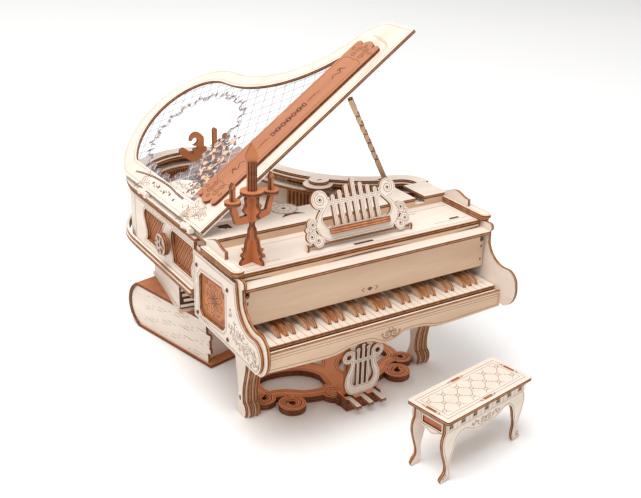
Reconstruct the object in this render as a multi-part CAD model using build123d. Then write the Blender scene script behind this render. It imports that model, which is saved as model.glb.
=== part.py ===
from build123d import *
import os
from math import cos, sin, radians, degrees, atan2

# Laser-cut plywood model of a grand piano with its bench, a pile of books under
# the tail, a candelabrum and a small instrument trophy.  Millimetres.
# Frame: X to the treble side, Y towards the tail, Z up; the origin is on the table
# at the middle of the foot plate's hub.  The pieces are drawn with Y = 0 at the
# front edge of the white keys and moved by HUB_Y as they are written.

# ---- driving dimensions --------------------------------------------------
HUB_Y = 40.0                 # foot plate hub behind the white keys' front edge
PLY = 2.0                    # plywood sheet
THIN = 1.0                   # printed clear sheet and thin veneers
GAP = 0.05                   # radial clearance of a pin in its hole
HALF = 85.2                  # half width over the outer cheek facings
CHEEK_IN = 81.2              # inner face of a cheek
KEY_PITCH = 4.5
WHITE_KEYS = 36
KEY_GAP = 0.25
KEY_TOP = 67.5
KEY_FACE = 26.0              # length of a white key cover
KEY_TAIL = 58.0
PIVOT_Y, PIVOT_Z, PIVOT_R = 44.0, 63.6, 1.0
BED_TOP = 59.6               # top of the key bed
CHEEK_BOTTOM = 57.6
SHELF_TOP = 103.4            # music shelf
SHELF_FRONT = 17.8
CAP_TOP = 107.4              # side caps beside the shelf
RIM_TOP = 109.4              # tail rim, where the closed lid rests
TAIL_FLOOR = 71.5            # underside of the tail
RISER_Y = 52.0
LID_FRONT = 56.5
LID_ANGLE = 35.67            # lid opening angle at rest
HINGE_X, HINGE_Z = -84.6, 111.0
LID_UNDER = 109.7            # underside of the closed lid
GEAR_MODULE = 1.0
TRAIN_TEETH = (24, 22, 22, 22)   # cam shaft, two idlers, knob
PINION_TEETH = 12
GEAR_X = -80.6               # bass-side gear plane
KNOB_Y, KNOB_Z = 98.8, 91.5
CAM_Z = 82.0                 # height of the cam shaft
SHAFT_R = 1.5
PROP_FOOT = (62.6, 89.4, 107.6)
PROP_LENGTH = 89.3
PROP_SWING = 70.4            # turn from propping to lying along the rim
DESK_PIVOT_Z = 106.0
BENCH_AT, BENCH_TURN = (24.0, -50.0), 10.2
BENCH_LENGTH, BENCH_WIDTH, BENCH_HEIGHT = 70.5, 28.8, 40.4


# ---- helpers -------------------------------------------------------------
def flat(sketch, z, thick=PLY):
    """Horizontal sheet with its underside at z."""
    return extrude(Pos(0, 0, z) * sketch, amount=thick)


def side(sketch, x, thick=PLY):
    """Sheet across X; the sketch is drawn in (Y, Z)."""
    return extrude(Plane.YZ.offset(x) * sketch, amount=thick)


def front(sketch, y, thick=PLY):
    """Sheet across Y; the sketch is drawn in (X, Z)."""
    return extrude(Plane.XZ.offset(-y) * sketch, amount=-thick)


def poly(*points):
    return Polygon(*points, align=None)


def rect(x0, y0, x1, y1):
    return Pos((x0 + x1) / 2, (y0 + y1) / 2) * Rectangle(x1 - x0, y1 - y0)


def disc(x, y, r):
    return Pos(x, y) * Circle(r)


def block(x0, y0, z0, x1, y1, z1):
    return flat(rect(x0, y0, x1, y1), z0, z1 - z0)


def rod_x(x0, x1, y, z, r):
    return side(disc(y, z, r), x0, x1 - x0)


def rod_y(y0, y1, x, z, r):
    return front(disc(x, z, r), y0, y1 - y0)


def link(x0, y0, r0, x1, y1, r1):
    """Band between two circles, drawn as their hull."""
    return make_hull(disc(x0, y0, r0).edges() + disc(x1, y1, r1).edges())


def mirrored(shape):
    return mirror(shape, about=Plane.YZ)


def write(name, *solids):
    """One STEP file for a node; its separate solids stay separate."""
    moved = [Pos(0, -HUB_Y, 0) * solid for solid in solids]
    shape = moved[0] if len(moved) == 1 else Compound(children=moved)
    export_step(shape, "parts/" + name + ".step")


def tooth_gear(teeth, module, bore):
    """Wooden gear with straight-flanked teeth and a round bore, on XY."""
    pitch = teeth * module / 2
    root, tip = pitch - 1.15 * module, pitch + 0.85 * module
    step = 360 / teeth
    points = []
    for i in range(teeth):
        mid = i * step
        for offset, radius in ((-0.29, root), (-0.11, tip), (0.11, tip), (0.29, root)):
            angle = radians(mid + offset * step)
            points.append((radius * cos(angle), radius * sin(angle)))
    return poly(*points) - Circle(bore)


# ---- plan outlines -------------------------------------------------------
def piano_plan(front_y, inset=0.0):
    """Grand piano plan from front_y to the tail, moved in by inset."""
    bass = Line((-85, front_y), (-85, 150))
    tail = TangentArc((-85, 150), (-48, 205.5), tangent=(0, 1))
    round_end = TangentArc(tail @ 1, (14, 165), tangent=tail % 1)
    hollow = TangentArc(round_end @ 1, (40, 109), tangent=round_end % 1)
    waist = TangentArc(hollow @ 1, (70, 94), tangent=hollow % 1)
    corner = TangentArc(waist @ 1, (85, 79), tangent=waist % 1)
    treble = Line((85, 79), (85, front_y))
    close = Line((85, front_y), (-85, front_y))
    plan = make_face([bass, tail, round_end, hollow, waist, corner, treble, close])
    if inset:
        plan = offset(plan, -inset, kind=Kind.INTERSECTION)
    return plan


def below_line(plan, front_y):
    """The part of a plan behind front_y."""
    return plan & rect(-120, front_y, 120, 240)


def rim_ring(outer_inset, inner_inset, front_y):
    outer = below_line(piano_plan(RISER_Y - 30, outer_inset), front_y)
    inner = piano_plan(RISER_Y - 30, inner_inset)
    return outer - inner


# ---- case ----------------------------------------------------------------
NOSE = (-16.6, 73.0)


def cheek_outline():
    """Side profile in (Y, Z): nose, S curve up to the lip, straight top."""
    under = Line((63.0, CHEEK_BOTTOM), (-9.0, CHEEK_BOTTOM))
    chin = ThreePointArc((-9.0, CHEEK_BOTTOM), (-14.8, 62.5), NOSE)
    brow = ThreePointArc(NOSE, (-14.2, 78.6), (-7.5, 80.8))
    throat = ThreePointArc((-7.5, 80.8), (4.0, 83.6), (9.4, 91.0))
    neck = Line((9.4, 91.0), (9.9, 98.6))
    lip = ThreePointArc((9.9, 98.6), (7.9, 101.2), (9.6, SHELF_TOP))
    top = Line((9.6, SHELF_TOP), (63.0, SHELF_TOP))
    back = Line((63.0, SHELF_TOP), (63.0, CHEEK_BOTTOM))
    return make_face([under, chin, brow, throat, neck, lip, top, back])


def facing_outline():
    """Outer decorated panel, a step smaller than the cheek."""
    under = Line((63.8, 61.0), (-8.6, 59.2))
    chin = ThreePointArc((-8.6, 59.2), (-12.6, 63.6), (-13.8, 69.4))
    brow = ThreePointArc((-13.8, 69.4), (-11.0, 75.6), (-5.0, 77.6))
    throat = ThreePointArc((-5.0, 77.6), (6.5, 80.8), (12.2, 90.0))
    neck = Line((12.2, 90.0), (14.0, 101.2))
    top = Line((14.0, 101.2), (63.8, 101.2))
    back = Line((63.8, 101.2), (63.8, 61.0))
    return make_face([under, chin, brow, throat, neck, top, back])


WINDOW = ((25.6, 70.0), (28.6, 66.8), (54.0, 64.6), (57.0, 67.4),
          (57.0, 87.8), (54.2, 91.2), (29.2, 92.8), (25.6, 89.4))
PEG_SPOTS = ((59.3, 93.6), (22.4, 93.8), (59.3, 64.6), (22.6, 64.6))
FLAP_PIN_Y, FLAP_PIN_Z, FLAP_PIN_R = 13.5, 76.3, 0.75


def cheek(x):
    sheet = cheek_outline() - disc(FLAP_PIN_Y, FLAP_PIN_Z, FLAP_PIN_R + GAP)
    sheet -= disc(PIVOT_Y, PIVOT_Z, PIVOT_R)
    return side(sheet, x)


def facing(x):
    return side(facing_outline() - poly(*WINDOW), x)


def case_parts():
    write("cheeks", cheek(-CHEEK_IN - PLY), cheek(CHEEK_IN))
    heads = [side(disc(y, z, 1.1), x, 0.5) for y, z in PEG_SPOTS for x in (-HALF - 0.5, HALF)]
    write("cheek_facings", facing(-CHEEK_IN - 2 * PLY), facing(CHEEK_IN + PLY), *heads)
    bed = rect(-CHEEK_IN, -2.0, CHEEK_IN, 63.0)
    rail = block(-80.9, 53.0, BED_TOP, 80.9, 57.0, 61.6)
    write("key_bed", flat(bed, CHEEK_BOTTOM), rail)
    write("key_slip", front(key_slip_outline(0), -5.4))
    backing = key_slip_outline(-1.4) & rect(-43.0, 40.0, 43.0, 80.0)
    write("key_slip_backing", front(backing, -3.4, 1.4))


def key_slip_outline(drop):
    """Long front rail; its lower edge rises beside a pendant in the middle."""
    wave = [(-CHEEK_IN, 56.0), (-66, 55.4), (-54, 54.9), (-44, 54.6), (-34, 55.0), (-26, 56.9),
            (-18, 57.7), (-11, 57.2), (-6, 54.8), (0, 53.2)]
    wave += [(-x, z) for x, z in reversed(wave[:-1])]
    low = [(x, z + drop) for x, z in wave]
    top = 66.0 + drop
    return make_face([
        Line((-CHEEK_IN, top), low[0]), Spline(*low), Line(low[-1], (CHEEK_IN, top)),
        Line((CHEEK_IN, top), (-CHEEK_IN, top))])


def shelf_parts():
    shelf = rect(-CHEEK_IN, SHELF_FRONT, CHEEK_IN, 62.0)
    shelf -= rect(65.0, 26.4, 72.0, 28.4)
    shelf -= rect(-6.5, 21.6, 6.5, 23.8)
    write("music_shelf", flat(shelf, SHELF_TOP - PLY), *desk_feet())
    lip = block(-CHEEK_IN, 8.6, 96.9, CHEEK_IN, 19.8, 98.9)
    strip = front(rect(-CHEEK_IN, 98.9, CHEEK_IN, SHELF_TOP - PLY), 17.8)
    write("fallboard_lip", lip, strip)
    caps = []
    for lower, front_y in ((SHELF_TOP, 14.0), (SHELF_TOP + PLY, 12.6)):
        for sign in (-1, 1):
            plan = make_face([
                Line((sign * 79.0, RISER_Y), (sign * 79.0, front_y + 4.4)),
                ThreePointArc((sign * 79.0, front_y + 4.4), (sign * 82.6, front_y),
                              (sign * 86.2, front_y + 4.4)),
                Line((sign * 86.2, front_y + 4.4), (sign * 86.2, RISER_Y)),
                Line((sign * 86.2, RISER_Y), (sign * 79.0, RISER_Y))])
            caps.append(flat(plan, lower))
    wing = make_face([
        Line((30.0, CAP_TOP), (RISER_Y, CAP_TOP)), Line((RISER_Y, CAP_TOP), (RISER_Y, 110.6)),
        Spline((RISER_Y, 110.6), (47.0, 112.6), (41.0, 113.9), (34.8, 112.2), (30.0, 111.7)),
        Line((30.0, 111.7), (30.0, CAP_TOP))])
    write("side_caps", *caps, side(wing, -82.6), side(wing, 80.6))
    channel = rect(PROP_FOOT[0] - 4.6, RISER_Y - 1, PROP_FOOT[0] + 2.4, 90)
    riser = rect(-79.0, SHELF_TOP, 79.0, RIM_TOP - PLY) - rect(58.0, 105.4, 65.0, 110)
    riser = front(riser, RISER_Y)
    deck = rect(-82.5, RISER_Y, 82.5, 74.0) - rect(-68, 63.0, -61, 69.5)
    deck = deck & piano_plan(RISER_Y - 10, 2.5)
    write("front_deck", flat(deck - channel, RIM_TOP - PLY), riser)


def flap_parts():
    """Hinged key lid, upright above the keys, with its two end pins."""
    low, high, end = 75.4, 96.2, 77.4
    pieces = [front(rect(-end, low, end, high), 12.5)]
    for sign in (-1, 1):
        strap = front(Pos(sign * 78.9, 83.7) * Rectangle(3.0, 16.6), 12.5)
        strap -= rod_x(-90, 90, FLAP_PIN_Y, FLAP_PIN_Z, FLAP_PIN_R)
        pieces += [strap, rod_x(*sorted((sign * 77.4, sign * 83.0)), FLAP_PIN_Y,
                                 FLAP_PIN_Z, FLAP_PIN_R)]
    write("fallboard_flap", *pieces)


def rim_parts():
    floor = piano_plan(RISER_Y, 2.0)
    floor = below_line(floor, 63.2) - rect(-81.6, 63.0, -77.8, 72.0)
    write("tail_floor", flat(floor, TAIL_FLOOR))
    # straight bass side, with two framed windows and the knob shaft's hole
    panel = rect(64.0, TAIL_FLOOR + PLY, 150.0, RIM_TOP - 2 * PLY)
    panel -= side_window(67.0, 93.0, -1) + side_window(104.5, 132.5, 1)
    panel -= disc(KNOB_Y, KNOB_Z, SHAFT_R + GAP)
    write("rim_side_panel", side(panel, -84.6))
    backing = rect(66.0, 78.0, 94.6, 103.6) + rect(103.6, 78.0, 134.0, 103.6)
    write("rim_grilles", *side(backing, -82.5, THIN).solids())
    wall = rim_ring(2.0, 3.6, 63.2) - rect(-90, 40, -70, 150.2)
    wall = flat(wall, TAIL_FLOOR + PLY, RIM_TOP - 3 * PLY - TAIL_FLOOR)
    write("bent_rim_wall", wall)
    mould = []
    for z, grow in ((70.4, 1.0), (72.4, 2.4), (74.4, 1.4)):
        outer = offset(piano_plan(20), grow, kind=Kind.INTERSECTION)
        ring = below_line(outer, 65.0) - piano_plan(20, 0.2)
        mould.append(flat(ring, z))
    write("rim_moulding", *mould)
    lobe = disc(24.0, 109.0, 6.5) - rect(22.0, 107.4, 25.4, 108.6)
    notch = rect(PROP_FOOT[0] - 5.2, 70.0, PROP_FOOT[0] + 2.6, 91.8)
    upper = rim_ring(0.0, 9.0, 74.2) + lobe
    lower = rim_ring(0.6, 11.0, 74.2) + disc(22.0, 107.0, 9.5)
    lower += rim_ring(0.6, 11.0, 63.2) & rect(-90, 60, 90, 74.2)
    write("rim_cap_upper", flat(upper - notch, RIM_TOP - PLY))
    ledge = rim_ring(3.8, 12.5, 80.0) - rect(-90, 40, -68, 150.2)
    write("rim_cap_lower", flat(lower - notch, RIM_TOP - 2 * PLY), flat(ledge, 99.0))
    board = below_line(piano_plan(20, 4.0), 76.0) - rect(-90, 60, -70, 151.0)
    write("soundboard", flat(board, 82.0))


def side_window(y0, y1, sign):
    """Window with wavy ends, in (Y, Z)."""
    low, high, mid = 81.5, 101.5, 91.5
    bulge = 2.6
    left = Spline((y0, high), (y0 - bulge, mid + 5), (y0 + 1, mid - 3), (y0 - 0.5, low))
    right = Spline((y1, low), (y1 + 1, mid - 3), (y1 + bulge, mid + 5), (y1, high))
    if sign > 0:
        left = Spline((y0, high), (y0 + bulge, mid + 5), (y0 - 1, mid - 3), (y0 + 0.5, low))
        right = Spline((y1, low), (y1 - 1, mid - 3), (y1 + bulge, mid + 5), (y1, high))
    return make_face([left, Line(left @ 1, right @ 0), right, Line(right @ 1, left @ 0)])


# ---- keyboard ------------------------------------------------------------
NOTES = "CDEFGAB"
SHARPS = {"C": "Cs", "D": "Ds", "F": "Fs", "G": "Gs", "A": "As"}


def key_hole():
    return disc(PIVOT_Y, PIVOT_Z, PIVOT_R + GAP)


def white_key(index):
    """Cover with its notches for the sharps, on an upright lever."""
    x0 = (index - WHITE_KEYS / 2) * KEY_PITCH
    note = NOTES[index % 7]
    width = KEY_PITCH - KEY_GAP
    cover = rect(x0 + KEY_GAP / 2, 0, x0 + KEY_GAP / 2 + width, KEY_FACE)
    notch = 1.25 - KEY_GAP / 2
    if NOTES[(index - 1) % 7] in SHARPS and index > 0:
        cover -= rect(x0 - 1, 5.8, x0 + KEY_GAP / 2 + notch, 40)
    if note in SHARPS and index < WHITE_KEYS - 1:
        cover -= rect(x0 + KEY_PITCH - KEY_GAP / 2 - notch, 5.8, x0 + KEY_PITCH + 1, 40)
    lever = rect(0.8, 61.8, KEY_TAIL, KEY_TOP - PLY) - key_hole()
    middle = x0 + KEY_PITCH / 2
    return [flat(cover, KEY_TOP - PLY), side(lever, middle - PLY / 2)]


def black_key(index):
    """Single upright plate at the boundary after white key index."""
    x = (index + 1 - WHITE_KEYS / 2) * KEY_PITCH
    plate = make_face([
        Line((6.4, 61.8), (6.4, 67.2)),
        ThreePointArc((6.4, 67.2), (7.3, 69.7), (9.6, 70.8)),
        Line((9.6, 70.8), (KEY_FACE, 72.3)), Line((KEY_FACE, 72.3), (KEY_FACE + 2, 65.5)),
        Line((KEY_FACE + 2, 65.5), (KEY_TAIL, 65.5)), Line((KEY_TAIL, 65.5), (KEY_TAIL, 61.8)),
        Line((KEY_TAIL, 61.8), (6.4, 61.8))])
    return side(plate - key_hole(), x - PLY / 2)


def keyboard_parts():
    for i, note in enumerate(NOTES):
        solids = []
        for index in range(i, WHITE_KEYS, 7):
            solids += white_key(index)
        write("keys_" + note, *solids)
        if note in SHARPS:
            blacks = [black_key(k) for k in range(i, WHITE_KEYS - 1, 7)]
            write("keys_" + SHARPS[note], *blacks)
    write("key_pivot_rod", rod_x(-83.0, 83.0, PIVOT_Y, PIVOT_Z, PIVOT_R))


# ---- key action drive ----------------------------------------------------
def train_spots():
    """Gear centres from the knob forward to the cam shaft, on one slanting line."""
    run = [0.0]
    teeth = TRAIN_TEETH[::-1]
    for first, second in zip(teeth, teeth[1:]):
        run.append(run[-1] + (first + second) * GEAR_MODULE / 2)
    rise = (CAM_Z - KNOB_Z) / run[-1]
    level = (1 - rise ** 2) ** 0.5
    spots = [(KNOB_Y - level * r, KNOB_Z + rise * r) for r in run]
    return spots[::-1]


def gear_at(y, z, x, teeth, turn, bore=SHAFT_R):
    wheel = extrude(tooth_gear(teeth, GEAR_MODULE, bore), amount=PLY)
    place = Plane(origin=(x, y, z), x_dir=(0, 1, 0), z_dir=(1, 0, 0))
    return place * Rot(0, 0, turn) * wheel


def drive_parts():
    spots = train_spots()
    (y0, z0), (y1, z1), (y2, z2), (y3, z3) = spots
    slope = degrees(atan2(z3 - z0, y3 - y0))
    gears = []
    for k, (y, z) in enumerate(spots):
        half_step = 180 / TRAIN_TEETH[k] if k % 2 else 0
        gears.append(gear_at(y, z, GEAR_X, TRAIN_TEETH[k], slope + half_step))
    inner = GEAR_X + 5.2
    write("idler_gear_front", gears[1], rod_x(GEAR_X - 0.3, inner, y1, z1, SHAFT_R))
    write("idler_gear_rear", gears[2], rod_x(GEAR_X - 0.3, inner, y2, z2, SHAFT_R))
    bridge = link(y0, z0, 5, y3, z3, 5) + rect(70.0, TAIL_FLOOR + PLY, 98.0, 88.0)
    for y, z in spots:
        bridge -= disc(y, z, SHAFT_R + GAP)
    bridge = side(bridge, GEAR_X + 3.0)
    write("winding_knob", *winding_knob(y3, z3), rod_x(-90.0, inner, y3, z3, SHAFT_R), gears[3])
    motor_y = y0 + (TRAIN_TEETH[0] + PINION_TEETH) * GEAR_MODULE / 2
    drive_x = -GEAR_X - PLY
    write("cam_shaft", rod_x(GEAR_X - 0.3, -GEAR_X + 0.3, y0, z0, SHAFT_R), gears[0],
          gear_at(y0, z0, drive_x, TRAIN_TEETH[0], 0), *cams(y0, z0))
    write("motor_pinion", gear_at(motor_y, z0, drive_x, PINION_TEETH, 180 / PINION_TEETH, 1.0),
          rod_x(drive_x - 3.6, -GEAR_X + 0.3, motor_y, z0, 1.0))
    bracket = rect(26.0, 74.0, 60.0, 90.0) + rect(40.0, 74.0, 60.0, SHELF_TOP - PLY)
    bracket -= disc(y0, z0, SHAFT_R + GAP) + disc(motor_y, z0, 1.6)
    write("gear_bridges", bridge, side(bracket, drive_x - 3.0))
    can = rod_x(drive_x - 23.0, drive_x - 4.0, motor_y, z0, 6.0)
    write("motor", can, rod_x(drive_x - 4.0, drive_x - 3.0, motor_y, z0, 4.0)
          - rod_x(0, 99, motor_y, z0, 1.6), block(drive_x - 31.0, motor_y - 5, z0 - 5,
                                                drive_x - 23.0, motor_y + 5, z0 + 5))


def winding_knob(y, z):
    """Milled hand wheel with a spoked face, outside the bass side."""
    grip = Circle(6.6)
    for k in range(30):
        grip -= Rot(0, 0, 12 * k) * rect(6.3, -0.3, 7.0, 0.3)
    spokes = Circle(5.6) - Circle(2.6)
    for k in range(6):
        spokes -= Rot(0, 0, 60 * k) * rect(1.5, -0.55, 6.0, 0.55)
    place = Plane(origin=(-90.0, y, z), x_dir=(0, 1, 0), z_dir=(1, 0, 0))
    wheel = place * extrude(grip - Circle(SHAFT_R), amount=3.4)
    face = place * extrude(Circle(5.6) - Circle(SHAFT_R) - spokes, amount=-0.8)
    return (wheel + face).solids()


def cams(y, z):
    """Lobed discs spread along the cam shaft."""
    discs = []
    for k in range(15):
        outline = Circle(7.0) + link(0, 0, 4.5, 6.6, 0, 2.6)
        cam = extrude(outline - Circle(SHAFT_R), amount=PLY)
        plane = Plane(origin=(-67.0 + 9.4 * k, y, z), x_dir=(0, 1, 0), z_dir=(1, 0, 0))
        discs.append(plane * Rot(0, 0, 104.0 * k) * cam)
    return discs


# ---- lid and prop --------------------------------------------------------
def open_lid(shape):
    """Turn a piece of the closed lid up to its resting angle."""
    axis = Axis((HINGE_X, 0, HINGE_Z), (0, 1, 0))
    return shape.rotate(axis, -LID_ANGLE)


def lid_opening():
    """Large opening of the lid frame, behind the beam."""
    hole = piano_plan(20, 10.5)
    return hole & rect(-71.0, 84.0, 59.0, 240)


def trophy_cutout():
    """Opening of the clear sheet over the trophy, scalloped all round."""
    edge = Spline((-65.5, 127), (-65.5, 150), (-56, 170), (-36, 179), (-14, 170), (-5, 147),
                  (-12, 124), (-30, 119), (-50, 121), periodic=True)
    hole = make_face([edge])
    for k in range(20):
        spot = edge @ (k / 20)
        hole += disc(spot.X, spot.Y, 3.0)
    return hole


HINGE_SPOTS = (72.0, 134.0)


def lid_parts():
    plan = below_line(piano_plan(20), LID_FRONT) & rect(-82.6, 0, 200, 240)
    sheet = below_line(piano_plan(20, 0.6), LID_FRONT) & rect(-82.6, 0, 200, 240)
    clear = flat(sheet - trophy_cutout(), LID_UNDER, THIN)
    frame = flat(plan - lid_opening(), LID_UNDER + THIN)
    beam_top = LID_UNDER + THIN + PLY
    beam = beam_outline()
    write("lid_clear_sheet", open_lid(clear))
    write("lid_beam", open_lid(flat(beam, beam_top)))
    knuckles, posts = [], []
    for y in HINGE_SPOTS:
        eye = rod_y(y - 2.5, y + 2.5, HINGE_X, HINGE_Z, 1.5) + block(
            HINGE_X, y - 2.5, LID_UNDER + 0.1, -82.6, y + 2.5, LID_UNDER + 2.6)
        knuckles.append(open_lid(eye - rod_y(y - 9, y + 9, HINGE_X, HINGE_Z, 0.7 + GAP)))
        for start in (y - 5.8, y + 2.8):
            lug = rod_y(start, start + 3, HINGE_X, HINGE_Z, 1.5)
            lug += block(HINGE_X - 1.5, start, RIM_TOP, HINGE_X + 1.5, start + 3, HINGE_Z)
            posts.append(lug - rod_y(start - 1, start + 4, HINGE_X, HINGE_Z, 0.7))
        posts.append(rod_y(y - 5.8, y + 5.8, HINGE_X, HINGE_Z, 0.7))
    write("lid_frame", open_lid(frame), *knuckles)
    write("rim_hinges", *posts)


def beam_outline():
    """Long beam across the lid; each end is a low crown with a round middle."""
    x0, x1, y0, y1 = -64.0, 62.5, 64.6, 86.2
    mid = (y0 + y1) / 2
    body = rect(x0, y0, x1, y1)
    for x, way in ((x0, -1), (x1, 1)):
        body += disc(x, y0 + 2.6, 2.6) + disc(x, y1 - 2.6, 2.6)
        body += disc(x - way * 1.0, mid, 5.2)
    return body


def prop_parts():
    """Prop stick: ball foot in a collar, modelled lying forward, then raised."""
    px, py, pz = PROP_FOOT
    foot = Pos(px, py, pz) * Sphere(1.9)
    stick = block(px - 1.4, py - PROP_LENGTH, pz - 1.3, px + 1.4, py - 1.0, pz + 1.3)
    for k in range(6):
        y = py - 33 - 9.2 * k
        stick -= rod_x(px - 3, px + 3, y, pz + 2.0, 1.7)
        stick -= rod_x(px - 3, px + 3, y + 4.6, pz - 2.1, 1.7)
        stick -= flat(disc(px + 2.4, y + 2.3, 1.7), pz - 3, 6)
        stick -= flat(disc(px - 2.4, y + 6.9, 1.7), pz - 3, 6)
    stick = (stick + foot).rotate(Axis(PROP_FOOT, (0.8, 0, 0.6)), -PROP_SWING)
    write("lid_prop", stick)
    cup = block(px - 4.4, py - 2.2, RIM_TOP - 3 * PLY, px + 2.4, py + 2.2, RIM_TOP - 1.2)
    cup -= Pos(px, py, pz) * Sphere(2.15)
    cup = cup & flat(piano_plan(20, 3.7), 90, 30)
    cup -= flat(disc(px, py, 2.15), pz, 9) + block(px - 9, py - 9, pz - 1.5, px + 9, py, pz + 9)
    write("prop_socket", cup)


# ---- ornaments -----------------------------------------------------------
def desk_parts():
    """Music desk: two leaning sheets and a ledge, hinged at its foot."""
    lean = Axis((0, 26.0, DESK_PIVOT_Z), (1, 0, 0))
    foot = DESK_PIVOT_Z
    top = 33.0
    def half_frame(points, start, end):
        """Closed half outline from the middle line round to the middle line."""
        path = [(x, foot + z) for x, z in points]
        return make_face([Line((0, foot + start), path[0]), Spline(*path),
                          Line(path[-1], (0, foot + end)), Line((0, foot + end), (0, foot + start))])

    outer = half_frame([(18.0, 1.0), (24.4, 3.2), (27.6, 9.0), (25.6, 15.6), (21.4, 20.6),
                        (19.6, 24.6)], 1.0, 24.6)
    inner = half_frame([(16.0, 8.6), (21.4, 9.6), (23.0, 12.6), (20.6, 17.0), (17.6, 20.4),
                        (16.2, 24.8)], 8.6, 24.8)
    ring = outer - inner
    shape = ring + mirror(ring, about=Plane.YZ)
    for sign in (-1, 1):
        shape += disc(sign * 22.6, foot + 24.0, 5.3)
        shape += disc(sign * 31.2, foot + 5.0, 3.4) + disc(sign * 27.4, foot + 2.2, 3.6)
        shape += disc(sign * 29.4, foot + 11.4, 3.6) + disc(sign * 33.0, foot + 9.0, 1.5)
    bars = [(-14.1, 25.8), (-9.4, 27.6), (-4.7, 29.8), (0, top), (4.7, 29.8), (9.4, 27.6),
            (14.1, 25.8)]
    for x, high in bars:
        shape += link(x, foot + 8, 1.25, x, foot + high - 1.25, 1.25)
    shape += rect(-18.6, foot + 20.2, 18.6, foot + 22.6)
    sheet = front(shape, 25.0)
    back = front(rect(-19, foot + 1, 19, foot + 9), 27.0)
    ledge = flat(link(-18.6, 23.6, 1.4, 18.6, 23.6, 1.4), foot + 4.6, 3.2)
    bore = rod_x(-40, 40, 26.0, foot, 0.6 + GAP)
    pieces = [sheet - bore, back - bore, ledge]
    write("music_desk", *[s.rotate(lean, -22) for p in pieces for s in p.solids()])


def desk_feet():
    """Two ears on the shelf and the rod that carries the music desk."""
    feet = []
    for x in (-35.4, 33.8):
        ear = side(link(26.0, DESK_PIVOT_Z, 1.2, 26.0, SHELF_TOP + 1.2, 1.2), x, 1.6)
        feet.append(ear - rod_x(-40, 40, 26.0, DESK_PIVOT_Z, 0.6))
    return feet + [rod_x(-35.4, 35.4, 26.0, DESK_PIVOT_Z, 0.6)]


def turned(shape, x, y, angle):
    return Pos(x, y, 0) * Rot(0, 0, angle) * shape


CANDLE_AT, CANDLE_TURN = (-66.5, 30.0), 14.0


def candelabrum_parts():
    """Two crossed profile plates, three trays, three candles, three flames."""
    def stem_half():
        base = SHELF_TOP
        return make_face([
            Line((0, base), (8.8, base)), Line((8.8, base), (8.2, base + 2.0)),
            Line((8.2, base + 2.0), (6.4, base + 3.2)), Line((6.4, base + 3.2), (7.6, base + 5.2)),
            Spline((7.6, base + 5.2), (5.2, base + 7.4), (4.2, base + 12.4), (2.6, base + 14.6),
                   (2.5, base + 18.0), (1.7, base + 19.4), (1.7, base + 23)),
            Line((1.7, base + 23), (5.4, base + 25.6)),
            Spline((5.4, base + 25.6), (4.4, base + 27.6), (6.2, base + 30.0),
                   (4.2, base + 32.4), (4.6, base + 35.0), (2.6, base + 38.0)),
            Line((2.6, base + 38.0), (0, base + 38.0)), Line((0, base + 38.0), (0, base))])
    half = stem_half()
    profile = half + mirror(half, about=Plane.YZ)
    base = SHELF_TOP
    arms = Sketch() + profile
    for sign in (-1, 1):
        arms += link(sign * 4, base + 25.0, 2.2, sign * 10.5, base + 25.4, 1.8)
        arms += link(sign * 10.5, base + 25.4, 1.8, sign * 13.0, base + 32.6, 1.7)
        arms += Pos(sign * 13.2, base + 34.1) * Rectangle(3.0, 2.2)
    plate = front(arms, -1.0)
    cross_a = front(profile, -1.0).rotate(Axis.Z, 90)
    cross_a -= block(-1.0, -1.0, base - 1, 1.0, 1.0, base + 50)
    solids = [turned(plate, *CANDLE_AT, CANDLE_TURN)]
    solids += [turned(s, *CANDLE_AT, CANDLE_TURN) for s in cross_a.solids()]
    trays = [flat(disc(0, 0, 6.3), base + 38.0)]
    wax = RegularPolygon(2.75, 8)
    candles = [flat(wax, base + 40.0, 15.6)]
    flames = [flame(0, base + 55.6, 3.2, 9.6).rotate(Axis.Z, -34)]
    for sign in (-1, 1):
        trays.append(flat(disc(sign * 13.2, 0, 4.3), base + 35.2))
        stub = flat(RegularPolygon(1.7, 6), base + 37.2, 6.6)
        stub += flame(0, base + 43.8, 1.5, 3.4)
        candles += [Pos(sign * 13.2, 0, 0) * s for s in stub.solids()]
    solids += [turned(s, *CANDLE_AT, CANDLE_TURN) for s in trays]
    write("candelabrum", *solids)
    write("candles", *[turned(s, *CANDLE_AT, CANDLE_TURN) for s in candles + flames])


def flame(x, z, half_width, height):
    drop = make_face([
        Line((x, z), (x + half_width * 0.9, z)),
        Spline((x + half_width * 0.9, z), (x + half_width, z + height * 0.3),
               (x + half_width * 0.6, z + height * 0.65), (x, z + height)),
        Spline((x, z + height), (x - half_width * 0.6, z + height * 0.65),
               (x - half_width, z + height * 0.3), (x - half_width * 0.9, z)),
        Line((x - half_width * 0.9, z), (x, z))])
    return front(drop, -1.0)


TROPHY_AT = (-33.0, 148.0)


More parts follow.
